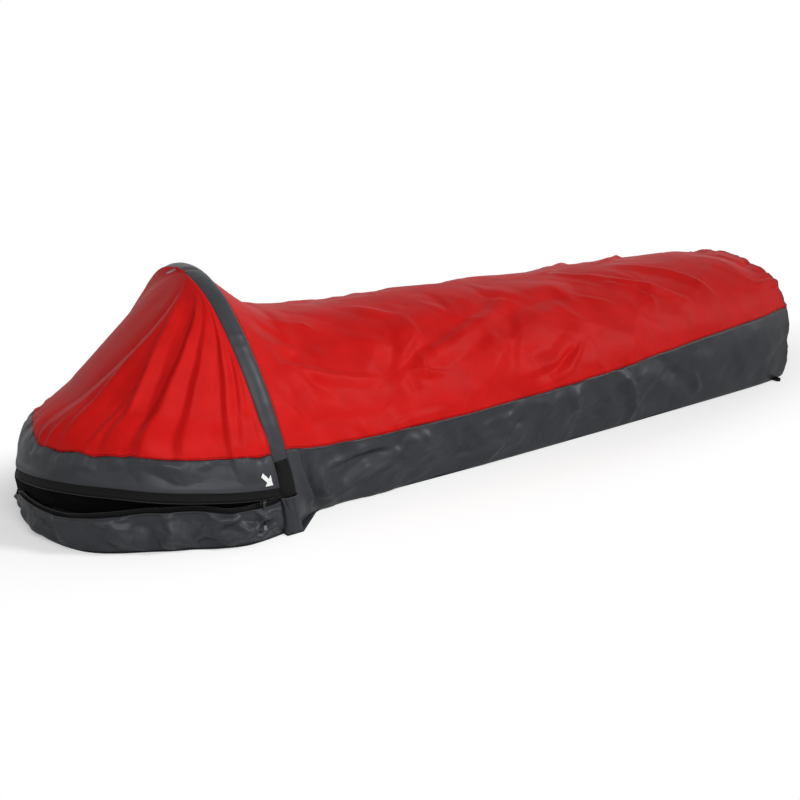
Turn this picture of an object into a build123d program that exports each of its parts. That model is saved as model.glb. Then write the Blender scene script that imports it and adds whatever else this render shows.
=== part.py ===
from build123d import *
from math import cos, radians, sin, sqrt, tan
import os

os.makedirs("parts", exist_ok=True)

# Bivy sack: a one-person waterproof cover for a sleeping bag, with a hooped, zipped head end.
#
# Units are millimetres. X runs along the bag, head end at -X and foot end at +X, Y across it
# (the side called near is -Y), Z up from the ground. The origin is on the ground, in the middle
# of the bag's length and width. All cloth is drawn CLOTH thick, so that it makes a sound solid.
#
# The hood, its hoop and its half of the zip are drawn as they lie with the zip closed, and are
# then tipped open together by MOUTH_ANGLE about the line through the two feet of the hoop.

# Overall sizes
HEAD_LENGTH = 425.0  # tip of the head end to the feet of the hoop
FOOT_LENGTH = 1660.0  # feet of the hoop to the foot end
LENGTH = HEAD_LENGTH + FOOT_LENGTH
HOOP_X = HEAD_LENGTH - LENGTH / 2
CLOTH = 2.0
SEAM_PLAY = 0.6  # clearance where hood cloth and body cloth meet along the hoop
CIRCLE_PULL = 0.5523  # Bezier handle that gives a quarter circle or ellipse
BIG = 3000.0

# Hoop pole
HOOP_HALF_WIDTH = 320.0  # centre of the bag to the pole's centre line, at the feet
HOOP_HEIGHT = 472.0  # foot to crown, along the hoop
HOOP_SIDE_SWEEP = 42.0  # degrees of the long-radius side arcs; the crown arc takes the rest
HOOP_LEAN = 6.2  # degrees toward the head, as it stands
HINGE_Z = 8.0  # the ball tips that the hoop tips about
MOUTH_ANGLE = 6.0  # how far the head end gapes as it stands
POLE_OUTER = 8.5
POLE_WALL = 0.7
FERRULE_OUTER = 7.0
FERRULE_LENGTH = 84.0
SHOCK_CORD = 3.0
TIP_BALL = 10.0
TIP_STEM = 6.6
TIP_STEM_LENGTH = 12.0
POLE_START = 6.0  # along the hoop, above the ball's centre

# Pole sleeve and the patches that close its ends
SLEEVE_HALF_WIDTH = 18.0
SLEEVE_HALF_THICKNESS = 6.4
SLEEVE_EDGE = 1.0
SLEEVE_START = 76.0  # heights along the hoop
PATCH_START = 92.0
PATCH_END = 160.0
PATCH_THICKNESS = 1.4
POCKET_TOP = 72.0
POCKET_FRONT = 19.0  # ahead of the hoop's plane; its back is SLEEVE_HALF_WIDTH behind it
POCKET_Y = (305.0, 331.0)

# Head end: the wall below the zip, on a circle about HEAD_CENTRE_X
HEAD_RADIUS = 335.0
HEAD_CENTRE_X = HEAD_RADIUS - LENGTH / 2
HEAD_BASE_RADIUS = 330.0
HEAD_TOP_RADIUS = 333.1
HEAD_WALL_TOP = 76.0
HEAD_WALL_BACK = 20.0  # ahead of the hoop's plane

# Main zip
ZIP_RADIUS = 330.5
TAPE_THICKNESS = 1.0
TAPE_BOTTOM = 64.0
CHAIN_WIDTH = 2.6  # through the thickness of the tape
CHAIN_HEIGHT = 3.0
LOWER_CHAIN_Z = 82.2
CHAIN_GAP = 2.4  # between the two rows, zip closed
UPPER_CHAIN_Z = LOWER_CHAIN_Z + CHAIN_HEIGHT + CHAIN_GAP

# Zip slider and its pull
SLIDER_ANGLE = 3.5  # degrees along the zip from square across the bag to the parked slider
SLIDER_LENGTH = 13.0
SLIDER_PLATE = 1.1
SLIDER_SIDE_GAP = 0.8
SLIDER_END_GAP = 0.4
SLIDER_TOP = 90.0
BAIL_REACH = 6.6  # from the chain's centre to the bar that the pull hangs on
BAIL_Z = 86.4
BAIL_WIRE = 1.6
BAIL_WIDTH = 9.0
PULL_EYE = 4.4
PULL_TAB = (5.0, 20.0, 1.2)  # width, length, thickness
PULL_TAPE = (3.0, 36.0, 0.6)  # width, drop below the tab's slot, thickness of one ply
PULL_GRIP = (6.0, 10.0, 3.0)

# Hood: heights with the zip closed
SKIRT_BOTTOM = 113.0
HOOD_SEAM_Z = 163.0
HOOD_SEAM_RADIUS = 310.0
HOOD_LEVELS = (200.0, 250.0, 310.0, 370.0, 425.0)  # slices between the seam and the top
HOOD_TOP_Z = 461.0
HOOD_TOP_THICKNESS = 10.0  # the cloth bunched under the crown of the hoop
HOOD_SAG = 20.0  # how far the cloth falls in between zip and hoop

# Insect mesh, hung inside the mouth
MESH_TOP = 121.0
MESH_BOTTOM = 46.0
MESH_TOP_RADIUS = 326.6
MESH_BOTTOM_RADIUS = 318.0
MESH_HEM = 6.0

# Body stations: distance behind the hoop's feet, half width on the ground, greatest half width,
# its height, height of the crest, and how square the upper curve is
STATIONS = (
    (90, 244, 282, 100, 380, 0.5523),
    (145, 234, 274, 104, 369, 0.5523),
    (260, 238, 273, 105, 358, 0.56),
    (530, 242, 274, 105, 356, 0.56),
    (860, 242, 272, 105, 347, 0.57),
    (1220, 240, 267, 104, 337, 0.59),
    (1520, 236, 257, 101, 331, 0.63),
    (1640, 224, 241, 98, 318, 0.67),
)
END_STATIONS = (
    (1640, 224, 241, 98, 318, 0.67),
    (1649, 214, 231, 96, 307, 0.67),
    (1656, 198, 214, 92, 286, 0.67),
    (1660, 170, 184, 86, 250, 0.67),
)
SEAM_LEVEL = 136.0  # height of the seam between side wall and top panel
SEAM_RISE = 102.0  # further up at the foot end
SEAM_RISE_START = 510.0

# Loops and inner straps
STAKE_LOOP_X = 1600.0
STAKE_LOOP = (12.0, 1.6, 8.0)  # gap between its two legs, tape thickness, tape width
STAKE_LOOP_REACH = 262.0
GUY_LOOP = (10.0, 24.0, 1.8)  # width, length, cord thickness
STRAP_X = {"head": 260.0, "foot": 900.0}
STRAP_WIDTH = 20.0
STRAP_THICKNESS = 1.6
STRAP_HALF_SPAN = 214.0
STRAP_TAB = 14.0
STRAP_RISE = 52.0
STRAP_HEIGHT = 34.0
BUCKLE = (30.0, 28.0, 3.2)  # across the strap, along it, thickness of the frame
BUCKLE_BAR = 4.0
BUCKLE_GAP = 0.5

FEET = Vector(HOOP_X, 0, HINGE_Z)


def write(name, shape):
    """Saves one node and reports its volume."""
    export_step(shape, f"parts/{name}.step")
    print(f"{name}: {shape.volume / 1000:.1f} cm3")


def tipped(shape, angle):
    """Turned about the line through the hoop's feet; a positive angle lifts the head end."""
    return Pos(*FEET) * Rot(0, angle, 0) * Pos(*-FEET) * shape


def as_it_stands(shape):
    return tipped(shape, MOUTH_ANGLE)


def hoop_plane(lean, ahead=0.0):
    """Plane of the hoop: local x across the bag, local y up the hoop, seen from the foot end."""
    upright = Plane(origin=FEET, x_dir=(0, 1, 0), z_dir=(1, 0, 0))
    return upright.rotated((0, -lean, 0)).offset(-ahead)


def behind(lean, ahead):
    """Everything on the foot side of a plane parallel to the hoop."""
    return extrude(hoop_plane(lean, ahead) * Rectangle(BIG, BIG), BIG)


def slab(low, high):
    """Everything between two heights."""
    return Pos(0, 0, (low + high) / 2) * Box(BIG, BIG, high - low)


def half(side):
    """Everything on one side of the bag: -1 is near, +1 is far."""
    return Pos(0, side * BIG / 2, 0) * Box(2 * BIG, BIG, BIG)


def mirrored(shape):
    return mirror(shape, about=Plane.XZ)


# ---- Hoop pole ----


def hoop_arcs(start=0.0):
    """The hoop's three tangent arcs in its own plane, near foot to far foot."""
    sweep_angle = radians(HOOP_SIDE_SWEEP)
    k = 1 / cos(sweep_angle) - tan(sweep_angle)
    side_radius = (HOOP_HEIGHT - k * HOOP_HALF_WIDTH) / (1 - k)
    side_centre = side_radius - HOOP_HALF_WIDTH
    crown_centre = side_centre * tan(sweep_angle)
    crown_radius = HOOP_HEIGHT - crown_centre

    def on_side(angle):
        return (side_centre - side_radius * cos(angle), side_radius * sin(angle))

    first = start / side_radius
    foot, middle, shoulder = on_side(first), on_side((first + sweep_angle) / 2), on_side(sweep_angle)
    near = ThreePointArc(foot, middle, shoulder)
    crown = ThreePointArc(shoulder, (0, crown_centre + crown_radius), (-shoulder[0], shoulder[1]))
    far = ThreePointArc((-shoulder[0], shoulder[1]), (-middle[0], middle[1]), (-foot[0], foot[1]))
    return near, crown, far


CLOSED_LEAN = HOOP_LEAN + MOUTH_ANGLE
HOOP = hoop_plane(CLOSED_LEAN)


def square_to(path, outline):
    """A flat outline set square to the start of a path."""
    return Plane(origin=path @ 0, x_dir=HOOP.z_dir, z_dir=path % 0) * outline


def along(arcs, outline):
    """An outline carried along arcs that lie in the hoop's plane."""
    path = HOOP * (Wire(arcs) if len(arcs) > 1 else arcs[0])
    return sweep(square_to(path, outline), path=path)


def ring(outer, inner):
    return Circle(outer) - Circle(inner)


def hoop_pole():
    """Three aluminium tubes, two ferrules, two ball tips and the elastic cord through them all."""
    names = ("pole_section_near", "pole_section_crown", "pole_section_far")
    tube = ring(POLE_OUTER / 2, POLE_OUTER / 2 - POLE_WALL)
    parts = {}
    arcs = hoop_arcs(POLE_START)
    for name, arc in zip(names, arcs):
        parts[name] = along([arc], tube)

    near, crown, _ = arcs
    near_share = FERRULE_LENGTH / 2 / near.length
    crown_share = FERRULE_LENGTH / 2 / crown.length
    joint = [near.trim(1 - near_share, 1), crown.trim(0, crown_share)]
    ferrule = along(joint, ring(FERRULE_OUTER / 2, SHOCK_CORD / 2 + 0.6))
    parts["pole_ferrules"] = Compound([ferrule, mirrored(ferrule)])

    parts["pole_shock_cord"] = along(arcs, Circle(SHOCK_CORD / 2))

    placed = HOOP * near
    foot, up = placed @ 0, placed % 0
    ball_centre = foot - up * POLE_START
    stem_plane = Plane(origin=foot, z_dir=up)
    collar = extrude(stem_plane * Circle(POLE_OUTER / 2), -2.0)
    stem = extrude(stem_plane * ring(TIP_STEM / 2, SHOCK_CORD / 2 + 0.3), TIP_STEM_LENGTH)
    ball = Pos(*ball_centre) * Sphere(TIP_BALL / 2)
    tip = ball + collar + stem
    parts["pole_tips"] = Compound([tip, mirrored(tip)])
    return parts


def sleeve_outline():
    """Flat band with a channel for the pole, thin at both edges where it is sewn to the cloth."""
    w, t, e = SLEEVE_HALF_WIDTH, SLEEVE_HALF_THICKNESS, SLEEVE_EDGE
    outline = make_face(
        [
            Line((-w, -e), (-w, e)),
            ThreePointArc((-w, e), (0, t), (w, e)),
            Line((w, e), (w, -e)),
            ThreePointArc((w, -e), (0, -t), (-w, -e)),
        ]
    )
    return outline - Circle(POLE_OUTER / 2 + 0.3)


def patch_outline():
    """Narrow band that hugs the outer face of the sleeve."""
    w, t, e = SLEEVE_HALF_WIDTH, SLEEVE_HALF_THICKNESS, SLEEVE_EDGE
    d = PATCH_THICKNESS
    return make_face(
        [
            ThreePointArc((-w, e), (0, t), (w, e)),
            Line((w, e), (w, e + d)),
            ThreePointArc((w, e + d), (0, t + d), (-w, e + d)),
            Line((-w, e + d), (-w, e)),
        ]
    )


def pole_sleeve():
    sleeve = along(hoop_arcs(SLEEVE_START), sleeve_outline())
    near = hoop_arcs(PATCH_START)[0]
    share = (PATCH_END - PATCH_START) / near.length
    patch = along([near.trim(0, share)], patch_outline())
    return {"pole_sleeve": sleeve, "sleeve_patch_near": patch, "sleeve_patch_far": mirrored(patch)}


# ---- Rings about the head centre ----


def ring_of(outline):
    """A flat outline of radius and height, turned once about the middle of the head end."""
    return Pos(HEAD_CENTRE_X, 0, 0) * revolve(Plane.XZ * outline, Axis.Z)


def band(radius_low, low, radius_high, high, thickness):
    """Ring of even thickness that leans from one radius to another; radii are its middle."""
    t = thickness / 2
    corners = [
        (radius_low - t, low),
        (radius_low + t, low),
        (radius_high + t, high),
        (radius_high - t, high),
    ]
    return ring_of(make_face(Polyline(corners, close=True)))


def chain_row(bottom):
    """One row of the coil as a plain bead of six sides."""
    side, middle, top = CHAIN_WIDTH / 2, bottom + CHAIN_HEIGHT / 2, bottom + CHAIN_HEIGHT
    corners = [
        (ZIP_RADIUS - side / 2, bottom),
        (ZIP_RADIUS + side / 2, bottom),
        (ZIP_RADIUS + side, middle),
        (ZIP_RADIUS + side / 2, top),
        (ZIP_RADIUS - side / 2, top),
        (ZIP_RADIUS - side, middle),
    ]
    return ring_of(make_face(Polyline(corners, close=True)))


def head_end():
    """The low wall in front of the hoop, the zip tape inside its top edge and the lower chain."""
    base, top, height = HEAD_BASE_RADIUS, HEAD_TOP_RADIUS, HEAD_WALL_TOP
    middle = height * 0.45
    wall = make_face(
        [
            ThreePointArc((base, 0), (HEAD_RADIUS, middle), (top, height)),
            Line((top, height), (top - CLOTH, height)),
            ThreePointArc((top - CLOTH, height), (HEAD_RADIUS - CLOTH, middle), (base - CLOTH, 0)),
            Line((base - CLOTH, 0), (base, 0)),
        ]
    )
    tape = band(ZIP_RADIUS, TAPE_BOTTOM, ZIP_RADIUS, LOWER_CHAIN_Z, TAPE_THICKNESS)
    back = behind(HOOP_LEAN, HEAD_WALL_BACK)
    return {
        "head_wall": ring_of(wall) - back,
        "lower_zip_tape": tape - back,
        "lower_zip_chain": chain_row(LOWER_CHAIN_Z) - back,
    }


# ---- Hood ----


def level_ellipse(centre, reach, width, z):
    """Flat ellipse in four quarters, so that the slices of the hood loft into one another."""
    k = CIRCLE_PULL
    quarters = []
    corners = [(reach, 0), (0, width), (-reach, 0), (0, -width), (reach, 0)]
    for (x0, y0), (x3, y3) in zip(corners, corners[1:]):
        first = (x0 + k * x3, y0 + k * y3)
        second = (x3 + k * x0, y3 + k * y0)
        quarters.append(Bezier((x0, y0), first, second, (x3, y3)))
    return Pos(centre, 0, z) * make_face(quarters)


def hood_section(z, wall):
    """Level slice of the hood above its seam; the half behind the hoop is cut away later."""
    rise = z - HINGE_Z
    lean = radians(CLOSED_LEAN)
    crown = HOOP_HEIGHT * cos(lean)
    width = HOOP_HALF_WIDTH * sqrt(1 - (rise / (crown + 4)) ** 2)
    hoop_ahead = SLEEVE_HALF_WIDTH / cos(lean)
    ahead = hoop_ahead + rise * tan(lean)
    seam_tip = HOOP_X - HEAD_CENTRE_X + HOOD_SEAM_RADIUS
    crown_tip = hoop_ahead + crown * tan(lean)
    share = (z - HOOD_SEAM_Z) / (crown + HINGE_Z - HOOD_SEAM_Z)
    front = seam_tip + (crown_tip - seam_tip) * share - HOOD_SAG * 4 * share * (1 - share)
    return level_ellipse(HOOP_X - ahead, front - ahead - wall, width - wall, z)


def hood_form(wall, top):
    """The filled hood from its seam up, less the cloth's thickness if given."""
    seam_radius = HOOD_SEAM_RADIUS - wall
    seam = level_ellipse(HEAD_CENTRE_X, seam_radius, seam_radius, HOOD_SEAM_Z)
    return loft([seam] + [hood_section(z, wall) for z in HOOD_LEVELS + (top,)])


def hood_cloth():
    """Grey skirt and red panel, cut from one dome; the skirt's foot laps the upper zip tape."""
    dome = hood_form(0, HOOD_TOP_Z)
    inside = hood_form(CLOTH, HOOD_TOP_Z - HOOD_TOP_THICKNESS)
    back = behind(CLOSED_LEAN, SLEEVE_HALF_WIDTH)
    low_radius = ZIP_RADIUS + TAPE_THICKNESS / 2 + CLOTH / 2
    seam_radius = HOOD_SEAM_RADIUS - CLOTH / 2
    skirt = band(low_radius, SKIRT_BOTTOM, seam_radius, HOOD_SEAM_Z, CLOTH)
    return {"hood_panel": dome - inside - back, "hood_skirt": skirt - back}


def upper_zip():
    back = behind(CLOSED_LEAN, SLEEVE_HALF_WIDTH)
    bottom = UPPER_CHAIN_Z + CHAIN_HEIGHT
    low = band(ZIP_RADIUS, bottom, ZIP_RADIUS, SKIRT_BOTTOM, TAPE_THICKNESS)
    return {"upper_zip_tape": low - back, "upper_zip_chain": chain_row(UPPER_CHAIN_Z) - back}


def mesh_screen():
    """Fine mesh that hangs inside the head wall, with a bound lower edge."""
    back = behind(CLOSED_LEAN, SLEEVE_HALF_WIDTH + 6)
    slope = (MESH_TOP_RADIUS - MESH_BOTTOM_RADIUS) / (MESH_TOP - MESH_BOTTOM)
    hem_radius = MESH_BOTTOM_RADIUS - slope * MESH_HEM
    mesh = band(MESH_BOTTOM_RADIUS, MESH_BOTTOM, MESH_TOP_RADIUS, MESH_TOP, 1.2)
    hem = band(hem_radius, MESH_BOTTOM - MESH_HEM, MESH_BOTTOM_RADIUS, MESH_BOTTOM, 2.4)
    return {"mesh_screen": mesh - back, "mesh_hem": hem - back}


def guy_loop():
    """Cord loop sewn into the front edge of the sleeve at the crown, lying on the hood."""
    width, length, cord = GUY_LOOP
    loop = SlotOverall(length, width) - SlotOverall(length - 2 * cord, width - 2 * cord)
    plane = hoop_plane(CLOSED_LEAN, SLEEVE_HALF_WIDTH)
    top = plane.from_local_coords((0, HOOP_HEIGHT + 1.5, 0))
    lie = Plane(origin=top, x_dir=(-1, 0, -0.45), z_dir=(-0.45, 0, 1))
    body = extrude(lie * Pos(length / 2 - 1, 0) * loop, cord)
    return {"guy_loop": body - behind(CLOSED_LEAN, SLEEVE_HALF_WIDTH)}


# ---- Body ----


def outline_on(plane, ground, side, side_height, crest, pull, wall):
    """Slice across the bag: flat floor, rolled lower edges and one full curve over the top."""
    g, w, m, h, f = ground, side - wall, side_height, crest - wall, wall
    k = CIRCLE_PULL
    roll = Bezier((g, f), (g + k * (w - g), f), (w, m - k * (m - f)), (w, m))
    over = Bezier((w, m), (w, m + pull * (h - m)), (pull * w, h), (0, h))
    left = [mirror(edge, about=Plane.YZ) for edge in (over, roll)]
    return plane * make_face([roll, over, *left, Line((-g, f), (g, f))])


def station_face(station, wall):
    x, *sizes = station
    plane = Plane(origin=(HOOP_X + x, 0, 0), x_dir=(0, 1, 0), z_dir=(1, 0, 0))
    return outline_on(plane, *sizes, wall)


def seam_height(x):
    """Height of the side seam at a distance behind the hoop's feet."""
    share = max(0.0, (x - SEAM_RISE_START) / (STATIONS[-1][0] - SEAM_RISE_START))
    return SEAM_LEVEL + SEAM_RISE * share**2.1


def below_seam():
    """Everything under the side seam."""
    xs = (SEAM_RISE_START, 790, 1070, 1355, STATIONS[-1][0])
    points = [(HOOP_X + x, seam_height(x)) for x in xs]
    start, end = points[0], points[-1]
    rising = Spline(points, tangents=[(1, 0), (1, 0.19)])
    face = make_face(
        [
            rising,
            Line(end, (end[0] + 200, end[1] + 38)),
            Line((end[0] + 200, end[1] + 38), (end[0] + 200, -10)),
            Line((end[0] + 200, -10), (-LENGTH, -10)),
            Line((-LENGTH, -10), (-LENGTH, start[1])),
            Line((-LENGTH, start[1]), start),
        ]
    )
    return extrude(Plane.XZ * face, BIG / 2, both=True)


def floor_panel():
    """Flat floor: round head end, full width under the hoop, narrow from there to the foot."""
    edge = [(HOOP_X + x, -ground) for x, ground, *_ in STATIONS]
    side = Spline(edge)
    corners = [(HOOP_X + x, -ground) for x, ground, *_ in END_STATIONS]
    corners[-1] = (corners[-1][0] - CLOTH, corners[-1][1])
    end = Polyline(corners)
    half_plan = make_face(
        [
            side,
            end,
            Line(corners[-1], (corners[-1][0], 0)),
            Line((corners[-1][0], 0), (edge[0][0], 0)),
            Line((edge[0][0], 0), edge[0]),
        ]
    )
    body = extrude(half_plan, CLOTH)
    back_x = HOOP_X + SLEEVE_HALF_WIDTH
    front_x = HOOP_X - POCKET_FRONT
    wide, narrow = POCKET_Y[1], STATIONS[0][1]
    neck = Polyline(
        (front_x, 0),
        (front_x, -wide),
        (back_x, -wide),
        (edge[0][0], -narrow),
        (edge[0][0], 0),
        close=True,
    )
    neck = extrude(make_face(neck), CLOTH)
    disc = Pos(HEAD_CENTRE_X, 0, CLOTH / 2) * Cylinder(HEAD_BASE_RADIUS - CLOTH, CLOTH)
    disc -= Pos(front_x + BIG / 2, 0, 0) * Box(BIG, BIG, BIG)
    return disc + neck + mirrored(neck) + body + mirrored(body)


def body_form(wall):
    """The filled bag from the shoulder to the foot end, less the cloth's thickness if given."""
    return loft([station_face(s, wall) for s in STATIONS])


def body_cloth(floor):
    """Side walls, top panel and foot end panel, sewn round the floor."""
    tube = body_form(0) - body_form(CLOTH) - floor
    under = below_seam()
    walls = tube & under
    outer_end = loft([station_face(s, 0) for s in END_STATIONS], ruled=True)
    inner_stations = END_STATIONS[:-1] + ((END_STATIONS[-1][0] - CLOTH, *END_STATIONS[-1][1:]),)
    inner_end = loft([station_face(s, CLOTH) for s in inner_stations], ruled=True)
    return {
        "side_wall_near": walls & half(-1),
        "side_wall_far": walls & half(1),
        "top_panel": tube - under,
        "foot_end_panel": outer_end - inner_end - floor,
    }


def shoulder_cloth():
    """The cloth that folds as the hoop tips: the shoulder behind the hoop and a gusset each side."""
    hoop = hoop_plane(HOOP_LEAN, -SLEEVE_HALF_WIDTH - SEAM_PLAY)
    drop = hoop.origin.Z / cos(radians(HOOP_LEAN))
    ground = hoop.from_local_coords((0, -drop, 0))
    plane = Plane(origin=ground, x_dir=hoop.x_dir, z_dir=hoop.z_dir)
    width = HOOP_HALF_WIDTH - 2
    crest = HOOP_HEIGHT + drop - 1

    def cone(wall):
        front = outline_on(plane, width - 10, width, 20, crest, CIRCLE_PULL, wall)
        return loft([front, station_face(STATIONS[0], wall)], ruled=True)

    tube = (cone(0) - cone(CLOTH)) & slab(CLOTH, BIG)
    under = below_seam()
    gussets = tube & under
    return {
        "shoulder_panel": tube - under,
        "gusset_near": gussets & half(-1),
        "gusset_far": gussets & half(1),
    }


def pole_pockets():
    """Open-topped cloth pockets, sewn to the floor, that hold the ball tips of the pole."""
    inner_y, outer_y = POCKET_Y
    depth = POCKET_FRONT + SLEEVE_HALF_WIDTH
    plane = hoop_plane(HOOP_LEAN, POCKET_FRONT)
    width = outer_y - inner_y
    centre = -(inner_y + outer_y) / 2
    outline = Pos(centre, 0) * Rectangle(width, 2 * POCKET_TOP)
    hollow = Pos(centre, 0) * Rectangle(width - 2 * CLOTH, 3 * POCKET_TOP)
    block = extrude(plane * outline, depth)
    hole = extrude(plane.offset(CLOTH) * hollow, depth - 2 * CLOTH)
    near = (block & slab(CLOTH, BIG)) - hole
    return {"pole_pocket_near": near, "pole_pocket_far": mirrored(near)}


def stake_loops(body):
    """A loop of tape on each foot corner, standing on edge so that a stake goes down through it."""
    gap, tape, width = STAKE_LOOP
    reach = STAKE_LOOP_REACH
    root = STATIONS[-1][1]
    outer = gap / 2 + tape
    length = reach - root
    shape = Pos(0, -root - length / 2) * Rectangle(2 * outer, length)
    shape -= Pos(0, -root - length / 2 + tape) * Rectangle(gap, length)
    corners = shape.vertices().filter_by(lambda v: abs(v.Y + reach) < 0.01)
    shape = chamfer(corners, gap / 4)
    loop = extrude(Pos(HOOP_X + STAKE_LOOP_X, 0, 0.6) * shape, width)
    near = loop - body
    return {"stake_loop_near": near, "stake_loop_far": mirrored(near)}


# ---- Zip slider and pull ----


def slider():
    """Slider at the middle of the lower chain's near side: local x along the chain, y outward."""
    inner = CHAIN_WIDTH / 2 + SLIDER_SIDE_GAP
    outer = inner + SLIDER_PLATE
    flange_top = LOWER_CHAIN_Z - SLIDER_END_GAP
    bottom = flange_top - SLIDER_PLATE
    slot = TAPE_THICKNESS / 2 + SLIDER_END_GAP
    height = SLIDER_TOP - bottom
    nose = SLIDER_LENGTH / 2
    body = Pos(0, 0, bottom + height / 2) * Box(SLIDER_LENGTH, 2 * outer, height)
    corners = body.edges().filter_by(Axis.Y)
    body = fillet(corners, 2.2)
    body -= Pos(0, 0, flange_top + BIG / 2) * Box(BIG, 2 * inner, BIG)
    body -= Pos(0, 0, bottom) * Box(BIG, 2 * slot, BIG / 2)
    post_low = LOWER_CHAIN_Z + CHAIN_HEIGHT + SLIDER_END_GAP
    post_height = CHAIN_GAP - 2 * SLIDER_END_GAP
    diamond = Polyline((-nose + 1, 0), (-nose + 4, 2.2), (-nose + 9, 0), (-nose + 4, -2.2), close=True)
    bridge = Pos(-nose + 4, 0, post_low + post_height / 2) * Box(2.4, 2 * outer, post_height)
    post = extrude(Pos(0, 0, post_low) * make_face(diamond), post_height)
    body += bridge + post

    reach = BAIL_REACH
    leg = Box(BAIL_WIRE, reach - outer + BAIL_WIRE / 2, BAIL_WIRE)
    middle = (outer + reach + BAIL_WIRE / 2) / 2
    for side in (-1, 1):
        body += Pos(side * (BAIL_WIDTH - BAIL_WIRE) / 2, -middle, BAIL_Z) * leg
    bar = Pos(0, -reach, BAIL_Z) * Rot(0, 90, 0) * Cylinder(BAIL_WIRE / 2, BAIL_WIDTH)
    return body + bar


def pull():
    """Flat pull tab with an eye round the bar, a tape threaded through it, and a moulded grip."""
    tab_width, tab_length, tab_thickness = PULL_TAB
    eye = Rot(0, 90, 0) * Cylinder(PULL_EYE / 2, tab_width)
    bore = Rot(0, 90, 0) * Cylinder(BAIL_WIRE / 2 + 0.35, BIG)
    blade = Pos(0, 0, -tab_length / 2) * Box(tab_width, tab_thickness, tab_length)
    blade = fillet(blade.edges().filter_by(Axis.Y).sort_by(Axis.Z)[:2], 1.4)
    slot_z = 3.2 - tab_length
    slot = Pos(0, 0, slot_z) * Box(tab_width - 1.6, BIG, 2.4)
    tab = eye + blade - bore - slot

    ply_width, drop, ply = PULL_TAPE
    fold = tab_thickness / 2 + 0.15
    crest = slot_z + 1.0
    strip = Pos(0, 0, crest - drop / 2) * Box(ply_width, 2 * (fold + ply), drop)
    strip -= Pos(0, 0, crest - ply - 3.0) * Box(BIG, 2 * fold, 6.0)
    grip_width, grip_length, grip_thickness = PULL_GRIP
    grip = Pos(0, 0, crest - drop) * Box(grip_width, grip_thickness, grip_length)
    grip = fillet(grip.edges().filter_by(Axis.Y), 2.0)
    strip -= grip
    return tab, strip, grip


def place_on_zip(shape, side):
    """From the slider's own frame to its parked place on the near (-1) or far (+1) side."""
    placed = Pos(HEAD_CENTRE_X, 0, 0) * Rot(0, 0, SLIDER_ANGLE) * Pos(0, -ZIP_RADIUS, 0) * shape
    return placed if side < 0 else mirrored(placed)


def zip_fittings():
    body = slider()
    tab, strip, grip = (Pos(0, -BAIL_REACH, BAIL_Z) * piece for piece in pull())
    parts = {}
    for name, side in (("near", -1), ("far", 1)):
        parts[f"zip_slider_{name}"] = place_on_zip(body, side)
        parts[f"zip_pull_{name}"] = place_on_zip(tab, side)
        parts[f"pull_tape_{name}"] = place_on_zip(strip, side)
        parts[f"pull_grip_{name}"] = place_on_zip(grip, side)
    return parts


# ---- Pad straps ----


def pad_strap(x):
    """Webbing sewn to the floor at both ends and arched over the sleeping pad."""
    span, height = STRAP_HALF_SPAN, STRAP_HEIGHT
    flat = span - STRAP_RISE
    heights = (CLOTH, CLOTH, height, height, CLOTH, CLOTH)
    places = (-span - STRAP_TAB, -span, -flat, flat, span, span + STRAP_TAB)
    under = list(zip(places, heights))
    over = [(y, z + STRAP_THICKNESS) for y, z in reversed(under)]
    outline = make_face(Polyline(under + over, close=True))
    plane = Plane(origin=(HOOP_X + x, 0, 0), x_dir=(0, 1, 0), z_dir=(1, 0, 0))
    return extrude(plane * outline, STRAP_WIDTH / 2, both=True)


def strap_buckle(x):
    """Tri-glide: two end bars over the webbing and a middle bar under it, between side rails."""
    across, length, thickness = BUCKLE
    rail = (across - STRAP_WIDTH) / 2 - BUCKLE_GAP
    under = STRAP_HEIGHT - BUCKLE_GAP - BUCKLE_BAR / 2
    over = STRAP_HEIGHT + STRAP_THICKNESS + BUCKLE_GAP
    top = over + thickness
    rails = Box(rail, length, top - under)
    height = (top + under) / 2
    frame = Pos((across - rail) / 2, 0, height) * rails
    frame += Pos((rail - across) / 2, 0, height) * rails
    end_bar = Box(across, BUCKLE_BAR, thickness)
    for side in (-1, 1):
        frame += Pos(0, side * (length - BUCKLE_BAR) / 2, over + thickness / 2) * end_bar
    middle = Pos(0, 0, under + BUCKLE_BAR / 4) * Box(across, BUCKLE_BAR, BUCKLE_BAR / 2)
    frame += middle
    outer_x = across / 2 - 0.1
    corners = frame.edges().filter_by(Axis.Z).filter_by(lambda e: abs(e.center().X) > outer_x)
    frame = fillet(corners, 1.2)
    return Pos(HOOP_X + x, 0, 0) * frame


def main():
    floor = floor_panel()
    shell = {"floor_panel": floor, **body_cloth(floor), **shoulder_cloth(), **head_end()}
    shell |= {**pole_pockets(), **stake_loops(body_form(0)), **zip_fittings()}
    for end, x in STRAP_X.items():
        shell[f"pad_strap_{end}"] = pad_strap(x)
        shell[f"strap_buckle_{end}"] = strap_buckle(x)
    hood = {**hoop_pole(), **pole_sleeve(), **hood_cloth(), **upper_zip(), **mesh_screen()}
    hood |= guy_loop()
    for name, shape in shell.items():
        write(name, shape)
    for name, shape in hood.items():
        write(name, as_it_stands(shape))


main()
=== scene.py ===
from math import asin, cos, pi, radians, sin, tan

import bpy
import numpy as np
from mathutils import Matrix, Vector, noise


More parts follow.
